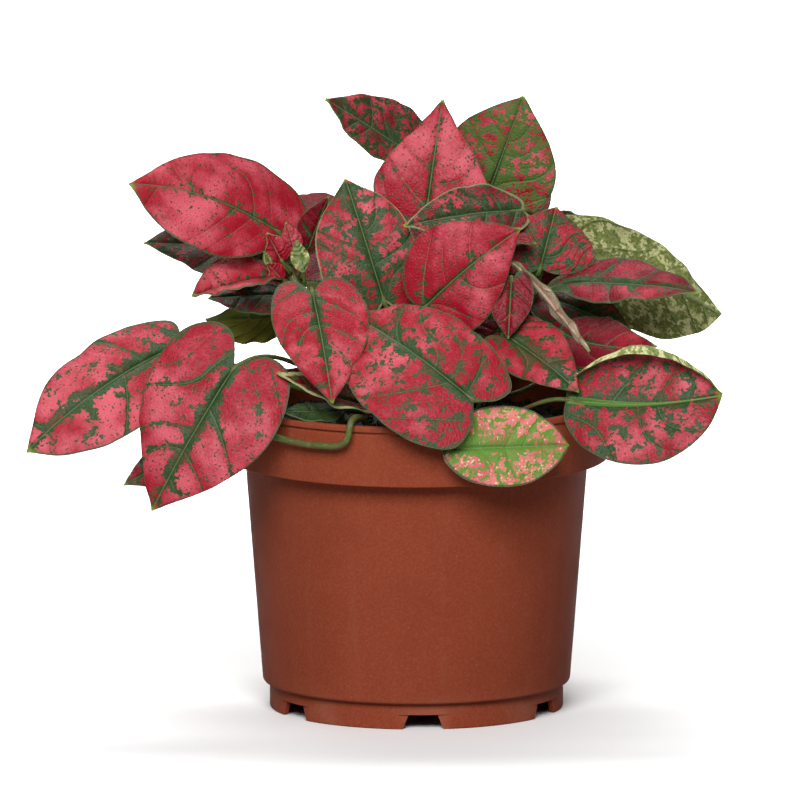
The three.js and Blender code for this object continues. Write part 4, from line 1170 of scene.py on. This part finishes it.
def prism(name, outline, start, end, angle):
    """A block whose outline (sideways, up) reaches from one radius to another, towards an angle."""
    mesh = bpy.data.meshes.new(name)
    ahead = np.array([math.cos(angle), math.sin(angle), 0])
    sideways = np.array([-math.sin(angle), math.cos(angle), 0])
    points = [
        (ahead * reach + sideways * side + np.array([0, 0, height])) * MM
        for reach in (start, end) for side, height in outline
    ]
    count = len(outline)
    faces = [tuple(range(count)), tuple(reversed(range(count, 2 * count)))]
    for index in range(count):
        following = (index + 1) % count
        faces.append((following, index, count + index, count + following))
    mesh.from_pydata([tuple(point) for point in points], [], faces)
    mesh.validate()
    return mesh


def joined_mesh(name, meshes):
    """One mesh made of several, which are removed."""
    whole = bmesh.new()
    for mesh in meshes:
        whole.from_mesh(mesh)
        bpy.data.meshes.remove(mesh)
    bmesh.ops.recalc_face_normals(whole, faces=whole.faces)
    mesh = bpy.data.meshes.new(name)
    whole.to_mesh(mesh)
    whole.free()
    return mesh


def cut_away(mesh, cutters):
    """The mesh less the cutters, one after another."""
    scene = bpy.context.scene
    target = bpy.data.objects.new(mesh.name, mesh)
    scene.collection.objects.link(target)
    tools = []
    for index, cutter in enumerate(cutters):
        tool = bpy.data.objects.new(f"cutter_{index}", cutter)
        scene.collection.objects.link(tool)
        modifier = target.modifiers.new(f"cut_{index}", "BOOLEAN")
        modifier.operation = "DIFFERENCE"
        modifier.solver = "EXACT"
        modifier.object = tool
        tools.append(tool)
    bpy.context.view_layer.update()
    evaluated = target.evaluated_get(bpy.context.evaluated_depsgraph_get())
    result = bpy.data.meshes.new_from_object(evaluated)
    for item in (target, *tools):
        data = item.data
        bpy.data.objects.remove(item)
        bpy.data.meshes.remove(data)
    return result


def put(name, mesh, node):
    """Puts a piece in the scene, in place of a CAD node where it has one."""
    piece = bpy.data.objects.new(name, mesh)
    bpy.context.scene.collection.objects.link(piece)
    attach(piece, "root")
    if node:
        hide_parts(node)
    return piece


# ---------------------------------------------------------------- the pot

def pot_profile(pot):
    """The pot's section in millimetres, from the middle of its underside round to the top of its floor."""
    wall, height = pot.wall / MM, pot.height / MM
    rim, collar = pot.rim_radius / MM, pot.collar_radius / MM
    top, bottom, foot = pot.body_top_radius / MM, pot.body_bottom_radius / MM, pot.foot_radius / MM
    step, shoulder = height - pot.collar_height / MM, pot.foot_height / MM
    pad, ring, floor = 12, 1.8, 6.6  # radius of the flat pad, width of the foot ring, top of the floor
    under = floor - wall
    return rounded([
        (0, 0, 0), (pad, 0, 0.4), (pad + 1, under, 0.6), (foot - ring, under, 0.5), (foot - ring, 0, 0.4),
        (foot, 0, 0.5), (foot, shoulder, 0.12), (bottom, shoulder, 2.0), (top, step, 0.25),
        (collar, step, 0.55), (rim - 0.7, height - 3.0, 0.3), (rim - 1.0, height - 2.6, 0.2),
        (rim - 0.95, height - 2.2, 0.2), (rim, height - 1.9, 0.3), (rim, height, 0.7),
        (rim - 1.9, height, 0.5), (collar - 1, step + wall, 0.5), (top - wall, step + wall, 0.5),
        (bottom - wall, 10.3, 2.5), (foot - wall, floor, 1.2), (pad, floor, 0.5), (pad - 1, wall, 0.5),
        (0, wall, 0),
    ])


def notch_outline(foot, spans):
    """A notch with two rounded upper corners, seen from outside. spans: its width in degrees of the foot."""
    top, bottom = (foot * math.sin(math.radians(span / 2)) for span in spans)
    corners = [
        (-bottom, -1, 0), (-bottom, -1, 0), (-top, NOTCH_HEIGHT, 0.5), (top, NOTCH_HEIGHT, 0.5),
        (bottom, -1, 0),
    ]
    return [tuple(point) for point in rounded(corners, 3)[1:]]


def drain_hole(angle):
    """A round cutter for a hole in the floor behind a notch."""
    sides = HOLE_SIDES
    centre = (HOLE_REACH * math.cos(angle), HOLE_REACH * math.sin(angle))
    ring = [(HOLE_RADIUS * math.cos(a), HOLE_RADIUS * math.sin(a)) for a in full_turn(sides)]
    points = [((centre[0] + x) * MM, (centre[1] + y) * MM, z * MM) for z in HOLE_SPAN for x, y in ring]
    faces = [tuple(reversed(range(sides))), tuple(range(sides, 2 * sides))]
    faces += [(i, (i + 1) % sides, sides + (i + 1) % sides, sides + i) for i in range(sides)]
    mesh = bpy.data.meshes.new("hole")
    mesh.from_pydata(points, [], faces)
    return mesh


def pot_mesh(pot):
    """The moulding, less the notches through its foot, the panels round them and the drain holes."""
    foot = pot.foot_radius / MM
    outside = foot + 2
    body = lathe("pot_moulding", pot_profile(pot), POT_SIDES)
    passages, panels, holes = [], [], []
    for index in range(pot.notches):
        angle = math.radians(FIRST_NOTCH + 360 / pot.notches * index)
        passage, panel = notch_outline(foot, NOTCH_PASSAGE), notch_outline(foot, NOTCH_PANEL)
        passages.append(prism("passage", passage, foot - PASSAGE_DEPTH, outside, angle))
        panels.append(prism("panel", panel, foot - PANEL_DEPTH, outside, angle))
        holes.append(drain_hole(angle))
    cutters = [joined_mesh("cut", group) for group in (passages, panels, holes) if group]
    mesh = cut_away(body, cutters)
    mesh.shade_smooth()
    mesh.set_sharp_from_angle(angle=math.radians(28))
    return mesh


# ---------------------------------------------------------------- the soil

def surface_point(reach, angle, soil):
    """A point of the crumbly surface, in millimetres. The surface sinks a little by the pot's wall."""
    x, y = reach * math.cos(angle), reach * math.sin(angle)
    seed = 7.3
    crown = soil.crown / MM * (1 - (reach / 58) ** 2)
    broad = noise.noise(Vector((x * 0.045, y * 0.045, seed)))
    lumps = noise.noise(Vector((x * 0.22, y * 0.22, seed + 3)))
    grains = abs(noise.noise(Vector((x * 0.75, y * 0.75, seed + 6))))
    fine = noise.noise(Vector((x * 1.6, y * 1.6, seed + 9)))
    bumps = crown + 0.9 * broad + 0.9 * lumps + 0.9 * grains + 0.35 * fine
    edge = float(smooth_step(reach, SOIL_EDGE - 5, SOIL_EDGE))
    return x, y, soil.level / MM + bumps * (1 - 0.75 * edge) - 0.8 * edge


def soil_mesh(soil):
    """The soil as one closed body: its surface, then down inside the pot's wall to the floor."""
    angles = full_turn(SOIL_SIDES)
    reaches = np.linspace(0.6, SOIL_EDGE, SOIL_ROWS)
    rings = [[surface_point(reach, angle, soil) for angle in angles] for reach in reaches]
    for reach, height in SOIL_BELOW:
        rings.append([(reach * math.cos(angle), reach * math.sin(angle), height) for angle in angles])
    rings = np.array(rings)[::-1]
    tones = np.zeros(rings.shape)
    tones[..., 0] = 0.5
    shell = Shell()
    shell.add(rings, 0, soil_tone=tones)
    crumbs(shell, soil)
    return shell.mesh("peat", [soil_material()], sharp=60)


def crumb(random, size, fibre):
    """One crumb about its own middle: a lump, or a thin fibre that lies nearly flat."""
    rows, sides = 5, 7
    turn = np.array(Euler(tuple(random.random(3) * 2 * math.pi)).to_matrix())
    if fibre:
        turn = np.array(Euler((0, (random.random() - 0.5) * 0.6, random.random() * 6.28)).to_matrix())
    stretch = 0.6 * np.array([3.2, 0.35, 0.3]) if fibre else 0.65 + 0.7 * random.random(3)
    rings = []
    for row in range(rows):
        polar = math.pi * (row + 0.6) / (rows + 0.2)
        radii = math.sin(polar) * (0.75 + 0.5 * random.random(sides))
        around = (np.arange(sides) + 0.4 * random.random(sides)) / sides * 2 * math.pi
        along = np.full(sides, -math.cos(polar)) * (0.85 + 0.3 * random.random(sides))
        rings.append(np.stack([along, radii * np.cos(around), radii * np.sin(around)], -1))
    return np.array(rings) * stretch * size @ turn.T


def crumbs(shell, soil):
    """Loose lumps and fibres of peat lying on the surface."""
    random = dice("crumbs")
    for index in range(soil.crumbs):
        size = soil.crumb_size / MM * (0.22 + 0.78 * random.random() ** 3)
        reach = (SOIL_EDGE - size - 0.5) * math.sqrt(random.random())
        x, y, height = surface_point(reach, random.random() * 2 * math.pi, soil)
        fibre = random.random() < FIBRE_SHARE
        shape = crumb(random, size, fibre) + np.array([x, y, height + 0.25 * size])
        through_wall = np.hypot(shape[..., 0], shape[..., 1]).max() > SOIL_EDGE + 0.3
        if through_wall:
            continue
        tone = np.zeros(shape.shape)
        tone[..., 0] = 0.95 if fibre else random.random() * 0.9
        left = 0.005 + 0.99 * (index % CRUMB_COLUMNS / CRUMB_COLUMNS)
        low = 0.005 + 0.99 * (index // CRUMB_COLUMNS / math.ceil(soil.crumbs / CRUMB_COLUMNS))
        shell.add(shape, 0, (left, low, left + 0.02, low + 0.02), soil_tone=tone)


# ---------------------------------------------------------------- the stems

def stem_path(name):
    radius, route = STEMS[name]
    return even(spline(route), STEM_SECTIONS), radius


def stem_mesh(name, stems):
    """One stem with swollen nodes where its leaves leave it and a blunt growing tip."""
    path, radius = stem_path(name)
    shares = np.linspace(0, 1, len(path))
    stem_length = distances(path)[-1]
    node_length, tip_length, thinning = 1.8, 2.2, 0.14
    radii = np.full(len(path), radius)
    for leaf in LEAVES.values():
        if leaf["stem"] == name:
            away = (shares - leaf["at"]) * stem_length / node_length
            radii *= 1 + stems.swelling * np.exp(-away ** 2)
    radii = np.minimum(radii, radius * (1 + 1.2 * stems.swelling))
    radii *= 1 - thinning * shares
    tip = np.clip((1 - shares) * stem_length / tip_length, 0, 1)
    radii *= np.sqrt(np.clip(1 - (1 - tip) ** 2, 0.04, 1))
    rings = tube(path, radii, STEM_SIDES)
    random = dice(name)
    centre = path[:, None, :]
    lumps = 1 + 0.035 * np.cos(4 * full_turn(STEM_SIDES)) + 0.02 * random.standard_normal(rings.shape[:2])
    rings = centre + (rings - centre) * lumps[..., None]
    shell = Shell()
    shell.add(rings, 0, tube_place=tube_marks(path, STEM_SIDES, random.random()))
    return shell.mesh(name, [stem_material()])


# ---------------------------------------------------------------- the leaves

class Midrib:
    """The middle vein of a blade and the axes that go with it. Behind the petiole it carries on straight."""

    def __init__(self, leaf):
        self.base = np.array(leaf["base"], float)
        self.chord = np.array(leaf["tip"], float) - self.base
        self.length = float(np.linalg.norm(self.chord))
        self.side = unit(np.cross(self.chord, np.array(leaf["face"], float)))
        up = unit(np.cross(self.side, self.chord))
        self.peak = leaf.get("peak", 0.5)
        self.bend = up * leaf.get("arch", 0) + self.side * leaf.get("sway", 0)

    def at(self, along):
        """The point, and the ways forward, right and up, at each place along the blade from 0 to 1."""
        inside = np.maximum(along, 0)[..., None]
        span = np.where(inside < self.peak, self.peak, 1 - self.peak)
        rise = 1 - ((inside - self.peak) / span) ** 2
        slope = self.chord + self.bend * (-2 * (inside - self.peak) / span ** 2)
        point = self.base + self.chord * inside + self.bend * rise + slope * (along[..., None] - inside)
        forward = unit(slope)
        right = unit(self.side - forward * (forward @ self.side)[..., None])
        return point, forward, right, np.cross(right, forward)


def outline_at(kind, stations):
    """How far along, and how wide, the margin is at each station from the petiole (0) to the tip (1)."""
    points = np.array(OUTLINES[kind], float)
    last = len(points) - 1
    place = np.clip(stations, 0, 1) * last
    index = np.minimum(place.astype(int), last - 1)
    t = (place - index)[:, None]
    p0, p1 = points[np.maximum(index - 1, 0)], points[index]
    p2, p3 = points[index + 1], points[np.minimum(index + 2, last)]
    leave, arrive = (p2 - p0) / 2, (p3 - p1) / 2
    return cubic(p1, p2, leave, arrive, t)


def area_under(values):
    """The area under evenly spaced values up to each of them, over a length of 1."""
    return np.concatenate([[0], np.cumsum((values[1:] + values[:-1]) / 2)]) / (len(values) - 1)


def blade_surface(leaf, rib, stations, shares):
    """The middle surface of a blade, and each point's place across it in millimetres and along it (0 to 1).
    stations: places along the outline. shares: from -1 at the left margin to 1 at the right one."""
    kinds = leaf["outline"]
    kinds = (kinds, kinds) if isinstance(kinds, str) else kinds
    curls, fold = leaf.get("curl", (0, 0)), leaf.get("fold", 0)
    points = np.zeros((len(stations), len(shares), 3))
    across = np.zeros((len(stations), len(shares)))
    along = np.zeros_like(across)
    for half, (sign, kind, width, curl) in enumerate(zip((-1, 1), kinds, leaf["wide"], curls)):
        columns = np.where(shares * sign > 0 if half == 0 else shares >= 0)[0]
        q = np.abs(shares[columns])
        fine = np.linspace(0, 1, 201)
        slope = np.radians(fold + curl * fine ** 3)
        out, rise = area_under(np.cos(slope)), area_under(np.sin(slope))
        edge = outline_at(kind, stations)
        place = stations[:, None] + (edge[:, :1] - stations[:, None]) * q
        point, _, right, up = rib.at(place)
        reach = edge[:, 1:] * width
        point = point + right * (sign * reach * np.interp(q, fine, out))[..., None]
        point = point + up * (reach * np.interp(q, fine, rise))[..., None]
        points[:, columns], along[:, columns] = point, place
        across[:, columns] = sign * reach * q
    return points, across, along


def blade_normals(points):
    across = np.gradient(points, axis=1)
    along = np.gradient(points, axis=0)
    return unit(np.cross(across, along))


def quilting(surface, width, blade_length, seed, height):
    """How far a blade swells between its side veins. They lie where the group "Leaf veins" has them."""
    _, across, along = surface
    out = np.abs(across) / blade_length
    laterals = LATERALS + LATERALS_MORE * seed
    phase = laterals * (along - out * (LATERAL_LEAN + LATERAL_BEND * out))
    phase += LATERAL_STRAY * np.sin(2 * math.pi * (1.3 * along + seed + 0.7 * across / blade_length))
    strength = 0.62 + 0.38 * np.sin(2.4 * np.round(phase) + 40 * seed + 1.1 * np.sign(across))
    swell = 1 - np.abs(np.cos(np.pi * phase)) ** 3 * strength
    body = smooth_step(width, 0.0, 0.22) * (1 - 0.55 * smooth_step(width, 0.55, 1))
    return height * swell * (body * (1 - 0.6 * smooth_step(along, 0.7, 1)))


def margin_waves(surface, width, random):
    """Waves up and down of the margin, which die out towards the midrib."""
    _, across, along = surface
    waves = np.zeros_like(across)
    for frequency in (2.3, 3.7, 5.9):
        turn = random.random() * 2 * math.pi
        lift = np.sin(2 * math.pi * (frequency * along + 0.35 * np.sign(across)) + turn)
        waves += lift / frequency * 1.9 * width ** 2.5
    return waves


def puckers(surface, blade_length, crinkle, random):
    """Dents all over a blade, made of waves that run in chance directions."""
    _, across, along = surface
    dents = np.zeros_like(across)
    for _ in range(7):
        direction = random.random() * 2 * math.pi
        frequency = 1.2 + 5.5 * random.random() * crinkle
        turn = random.random() * 2 * math.pi
        place_on = across / blade_length * math.cos(direction) + along * math.sin(direction)
        dents += np.sin(2 * math.pi * frequency * place_on + turn) / frequency
    return dents


def blade_skins(leaf, leaves, surface, width, blade_length, seed, random):
    """The upper and the lower skin of a blade. width: from 0 at the midrib to 1 at the margin."""
    points, across, along = surface
    crinkle = leaf.get("crinkle", 1)
    size = min(blade_length / USUAL_LENGTH, 1.1)
    waves = margin_waves(surface, width, random)
    dents = puckers(surface, blade_length, crinkle, random)
    calm = smooth_step(along, -0.02, 0.15)
    lift = leaves.wave / MM * size * crinkle * waves + 0.42 * size * crinkle * dents * (0.35 + 0.65 * width)
    middle = points + blade_normals(points) * (lift * calm)[..., None]
    normals = blade_normals(middle)
    quilts = quilting(surface, width, blade_length, seed, leaves.quilting / MM * crinkle * size)
    groove = np.exp(-(np.abs(across) / 0.9) ** 2) * (1 - 0.6 * along)
    thick = leaves.thickness / MM / 2 * (1 - 0.55 * width ** 3)
    upper = quilts * calm - leaves.groove / MM * groove * calm * 0.8
    lower = quilts * calm * 0.8 - leaves.groove / MM * groove * 1.5 * (1 - 0.5 * along) - 0.1
    lower = np.minimum(lower, upper)
    return middle + normals * (thick + upper)[..., None], middle + normals * (lower - thick)[..., None]


def both_skins(values):
    """Values of the upper skin from left to right, and then of the lower one from right to left."""
    return np.concatenate([values, values[:, ::-1]], axis=1)


def leaf_mesh(name, leaf, leaves):
    """A blade with its veins, quilting and waved margin, and its petiole back into the stem."""
    random = dice(name)
    seed = random.random()
    rib = Midrib(leaf)
    stations = np.concatenate([[0.008], np.linspace(0.02, 0.985, BLADE_SECTIONS), [0.997]])
    half = np.linspace(0, 1, BLADE_COLUMNS) ** 1.25
    shares = np.concatenate([-half[:0:-1], half])
    surface = blade_surface(leaf, rib, stations, shares)
    top, bottom = blade_skins(leaf, leaves, surface, np.abs(shares)[None, :], rib.length, seed, random)
    _, across, along = surface
    inward = np.where(across < 0, across - across[:, :1], across[:, -1:] - across)
    ones = np.ones_like(across)
    places = [across / rib.length, along, ones * seed]
    sizes = [ones * rib.length, inward, ones * leaf.get("tone", 0.5)]
    places, sizes = (np.stack([both_skins(part) for part in parts], -1) for parts in (places, sizes))
    columns = len(shares)
    slots = np.array([0] * columns + [1] * (columns - 1) + [0])
    shell = Shell()
    shell.add(np.concatenate([top, bottom[:, ::-1]], axis=1), slots, (0.01, 0.08, 0.99, 0.99),
              leaf_place=places, leaf_size=sizes, tube_place=np.zeros_like(places))
    path, radii = petiole_path(leaf, rib)
    marks = tube_marks(path, PETIOLE_SIDES, seed)
    empty = np.zeros_like(marks)
    shell.add(tube(path, radii, PETIOLE_SIDES), 2, (0.01, 0.01, 0.99, 0.07),
              leaf_place=empty, leaf_size=empty, tube_place=marks)
    under = under_material(leaf.get("under", "olive"))
    return shell.mesh(name, [upper_material(leaf["look"]), under, stem_material()])


def petiole_path(leaf, rib):
    """The petiole's centre line from inside the stem to under the base of the blade, and its radii."""
    path, radius = stem_path(leaf["stem"])
    index = leaf["at"] * (len(path) - 1)
    low = min(int(index), len(path) - 2)
    node = path[low] + (path[low + 1] - path[low]) * (index - low)
    along = unit(path[low + 1] - path[low])
    base = rib.base
    via = [np.array(point, float) for point in leaf.get("via", ())]
    away = (via[0] if via else base) - node
    away = unit(away - along * (away @ along))
    foot = node + away * (radius + GAP)
    forward = rib.at(np.array([0.0]))[1][0]
    if via:
        line = spline([foot, *via, base])
    else:
        reach = PETIOLE_REACH * np.linalg.norm(base - foot)
        t = np.linspace(0, 1, 33)[:, None]
        line = (foot * (1 - t) ** 3 + 3 * (foot + away * reach) * t * (1 - t) ** 2
                + 3 * (base - forward * reach) * t ** 2 * (1 - t) + base * t ** 3)
    inside = node + away * radius * 0.4  # the start, hidden in the stem
    points, _, _, up = rib.at(np.array([0.03, 0.07, 0.12, 0.18]))
    lowered = points - up * np.array([0.35, 0.55, 0.62, 0.6])[:, None]  # the end, under the midrib
    line = even(np.vstack([inside, line, lowered]), PETIOLE_SECTIONS)
    shares = np.linspace(0, 1, len(line))
    radii = PETIOLE_RADIUS * (1 + 0.45 * np.exp(-(shares / 0.06) ** 2))
    radii = radii * (1 - 0.12 * np.sin(math.pi * shares)) * (1 - 0.65 * smooth_step(shares, 0.82, 1))
    return line, radii


# ---------------------------------------------------------------- the stage

def aim(item, target):
    item.rotation_euler = (Vector(target) - item.location).to_track_quat("-Z", "Y").to_euler()


# Lamps: place, aim, width and height in metres, and the setting that holds the power.
LAMPS = {
    "key_lamp": ((-0.15, -1.3, 1.0), (0, 0, 0.1), (0.9, 0.7), "key"),
    "left_lamp": ((-1.2, -0.3, 0.8), (0, 0, 0.1), (0.8, 0.8), "fill"),
    "right_lamp": ((1.2, -0.3, 0.8), (0, 0, 0.1), (0.8, 0.8), "fill"),
    "backdrop_lamp": ((0, 1.15, 1.5), (0, 1.0, 0), (2.4, 1.4), "backdrop"),
}
BACKDROP_SPREAD = 70  # degrees
CAMERA_DISTANCE = 1.2


def lamp(name, location, target, size, power):
    data = bpy.data.lights.new(name, "AREA")
    data.shape = "RECTANGLE"
    data.size, data.size_y = size
    data.energy = power
    item = bpy.data.objects.new(name, data)
    bpy.context.scene.collection.objects.link(item)
    item.location = location
    aim(item, target)
    return item


def paper_material(stage):
    """Matt studio paper: nearly white, with the faintest grain, and darker for the light it throws back."""
    material, graph, shader = new_material("studio paper", stage.paper)
    place = graph.node("TexCoord").outputs["Object"]
    grain = graph.noise(place, 900.0, detail=3.0).outputs[0]
    cloud = graph.noise(place, 2.0, detail=2.0).outputs[0]
    darker = tuple(level * 0.985 for level in stage.paper)
    colours = graph.mix(graph.calc("MULTIPLY", cloud, 0.35), stage.paper, darker)
    seen = graph.node("LightPath").outputs["Is Camera Ray"]
    colours = graph.mix(seen, tuple(level * stage.bounce for level in stage.paper), colours)
    graph.feed(shader.inputs["Base Color"], colours)
    graph.feed(shader.inputs["Roughness"], graph.ramp(grain, 0.2, 0.8, 0.8, 0.95))
    relief(graph, shader, grain, 0.05 * MM)
    return material


def paper_sweep(stage):
    """A floor that curves up into a wall behind the plant."""
    front, back, radius, top, half = -1.6, 1.1, 0.5, 2.2, 2.2
    sweep = [(front, 0.0)]
    for angle in np.linspace(0, math.pi / 2, 25):
        sweep.append((back + radius * math.sin(angle), radius - radius * math.cos(angle)))
    sweep.append((back + radius, top))
    points = [(x, y, z) for y, z in sweep for x in (-half, half)]
    faces = [(2 * i, 2 * i + 1, 2 * i + 3, 2 * i + 2) for i in range(len(sweep) - 1)]
    mesh = bpy.data.meshes.new("paper_sweep")
    mesh.from_pydata(points, [], faces)
    mesh.materials.append(paper_material(stage))
    mesh.shade_smooth()
    item = bpy.data.objects.new("paper_sweep", mesh)
    bpy.context.scene.collection.objects.link(item)
    return item


def studio_camera(stage):
    """A camera with parallel sight lines, which come near to those of the photo's long lens."""
    data = bpy.data.cameras.new("studio_camera")
    data.type = "ORTHO"
    data.ortho_scale = stage.frame_width
    data.clip_start, data.clip_end = 0.01, 20
    item = bpy.data.objects.new("studio_camera", data)
    bpy.context.scene.collection.objects.link(item)
    target = Vector((stage.aim_across, 0, stage.aim_height))
    back = Vector((0, -math.cos(stage.elevation), math.sin(stage.elevation)))
    item.location = target + back * CAMERA_DISTANCE
    aim(item, target)
    bpy.context.scene.camera = item
    return item


# ---------------------------------------------------------------- operators

class PLANT_OT_pot(bpy.types.Operator):
    """Build the moulded pot with its notches and drain holes"""

    bl_idname = "plant.pot"
    bl_label = "Pot"
    bl_options = {"REGISTER", "UNDO"}

    def execute(self, context):
        mesh = pot_mesh(context.scene.plant_pot)
        mesh.materials.append(plastic_material())
        put("pot_moulding", mesh, "pot")
        return {"FINISHED"}


class PLANT_OT_soil(bpy.types.Operator):
    """Fill the pot with peat and scatter crumbs on it"""

    bl_idname = "plant.soil"
    bl_label = "Soil"
    bl_options = {"REGISTER", "UNDO"}

    def execute(self, context):
        mesh = soil_mesh(context.scene.plant_soil)
        put("peat", mesh, "soil")
        return {"FINISHED"}


class PLANT_OT_stems(bpy.types.Operator):
    """Grow the stems and the runner that hangs over the rim"""

    bl_idname = "plant.stems"
    bl_label = "Stems"
    bl_options = {"REGISTER", "UNDO"}

    def execute(self, context):
        for node in STEMS:
            mesh = stem_mesh(node, context.scene.plant_stems)
            put(node.replace("stem_", "stalk_"), mesh, node)
        return {"FINISHED"}


class PLANT_OT_leaves(bpy.types.Operator):
    """Grow the leaves, each with its petiole"""

    bl_idname = "plant.leaves"
    bl_label = "Leaves"
    bl_options = {"REGISTER", "UNDO"}

    def execute(self, context):
        for node, leaf in LEAVES.items():
            name = node.replace("leaf_", "blade_")
            mesh = leaf_mesh(name, leaf, context.scene.plant_leaves)
            put(name, mesh, node)
        return {"FINISHED"}


class PLANT_OT_young(bpy.types.Operator):
    """Grow the young leaves and the bud that have no solids in the frame; the crown's four are dark with
    painted shade
    """

    bl_idname = "plant.young"
    bl_label = "Young leaves"
    bl_options = {"REGISTER", "UNDO"}

    def execute(self, context):
        for name, leaf in YOUNG.items():
            mesh = leaf_mesh(name, leaf, context.scene.plant_leaves)
            put(name, mesh, None)
        return {"FINISHED"}


class PLANT_OT_stage(bpy.types.Operator):
    """Set up the paper sweep, the lamps and the camera"""

    bl_idname = "plant.stage"
    bl_label = "Studio"
    bl_options = {"REGISTER", "UNDO"}

    def execute(self, context):
        scene = context.scene
        stage = scene.plant_stage
        paper_sweep(stage)
        lamps = {name: lamp(name, *where, getattr(stage, power)) for name, (*where, power) in LAMPS.items()}
        lamps["backdrop_lamp"].data.spread = math.radians(BACKDROP_SPREAD)
        world = bpy.data.worlds.new("studio_world")
        world.use_nodes = True
        ambient = world.node_tree.nodes["Background"].inputs
        ambient["Color"].default_value = (1, 1, 1, 1)
        ambient["Strength"].default_value = stage.sky
        scene.world = world
        scene.view_settings.view_transform = "Standard"
        studio_camera(stage)
        return {"FINISHED"}


OPERATORS = (PLANT_OT_stage, PLANT_OT_pot, PLANT_OT_soil, PLANT_OT_stems, PLANT_OT_leaves, PLANT_OT_young)


class PLANT_PT_panel(bpy.types.Panel):
    """Lists the pieces of the plant and their settings"""

    bl_idname = "PLANT_PT_panel"
    bl_label = "Potted Polka Dot Plant"
    bl_space_type = "VIEW_3D"
    bl_region_type = "UI"
    bl_category = "Plant"

    def draw(self, context):
        for operator in OPERATORS:
            box = self.layout.box()
            box.operator(operator.bl_idname)
            settings = getattr(context.scene, "plant_" + operator.bl_idname.split(".")[1], None)
            for name in type(settings).__annotations__ if settings else ():
                box.prop(settings, name)


CLASSES = (*SETTINGS.values(), *OPERATORS, PLANT_PT_panel)


def register():
    for item in CLASSES:
        bpy.utils.register_class(item)
    for name, settings in SETTINGS.items():
        setattr(bpy.types.Scene, name, bpy.props.PointerProperty(type=settings))


def unregister():
    for name in SETTINGS:
        delattr(bpy.types.Scene, name)
    for item in reversed(CLASSES):
        bpy.utils.unregister_class(item)


def main():
    register()
    for operator in OPERATORS:
        family, name = operator.bl_idname.split(".")
        if getattr(getattr(bpy.ops, family), name)() != {"FINISHED"}:
            raise RuntimeError(f"{operator.bl_label} didn't finish")
    bpy.context.view_layer.update()


def corners(box):
    return [[float(value) for value in corner] for corner in box]


if __name__ == "__main__":
    main()
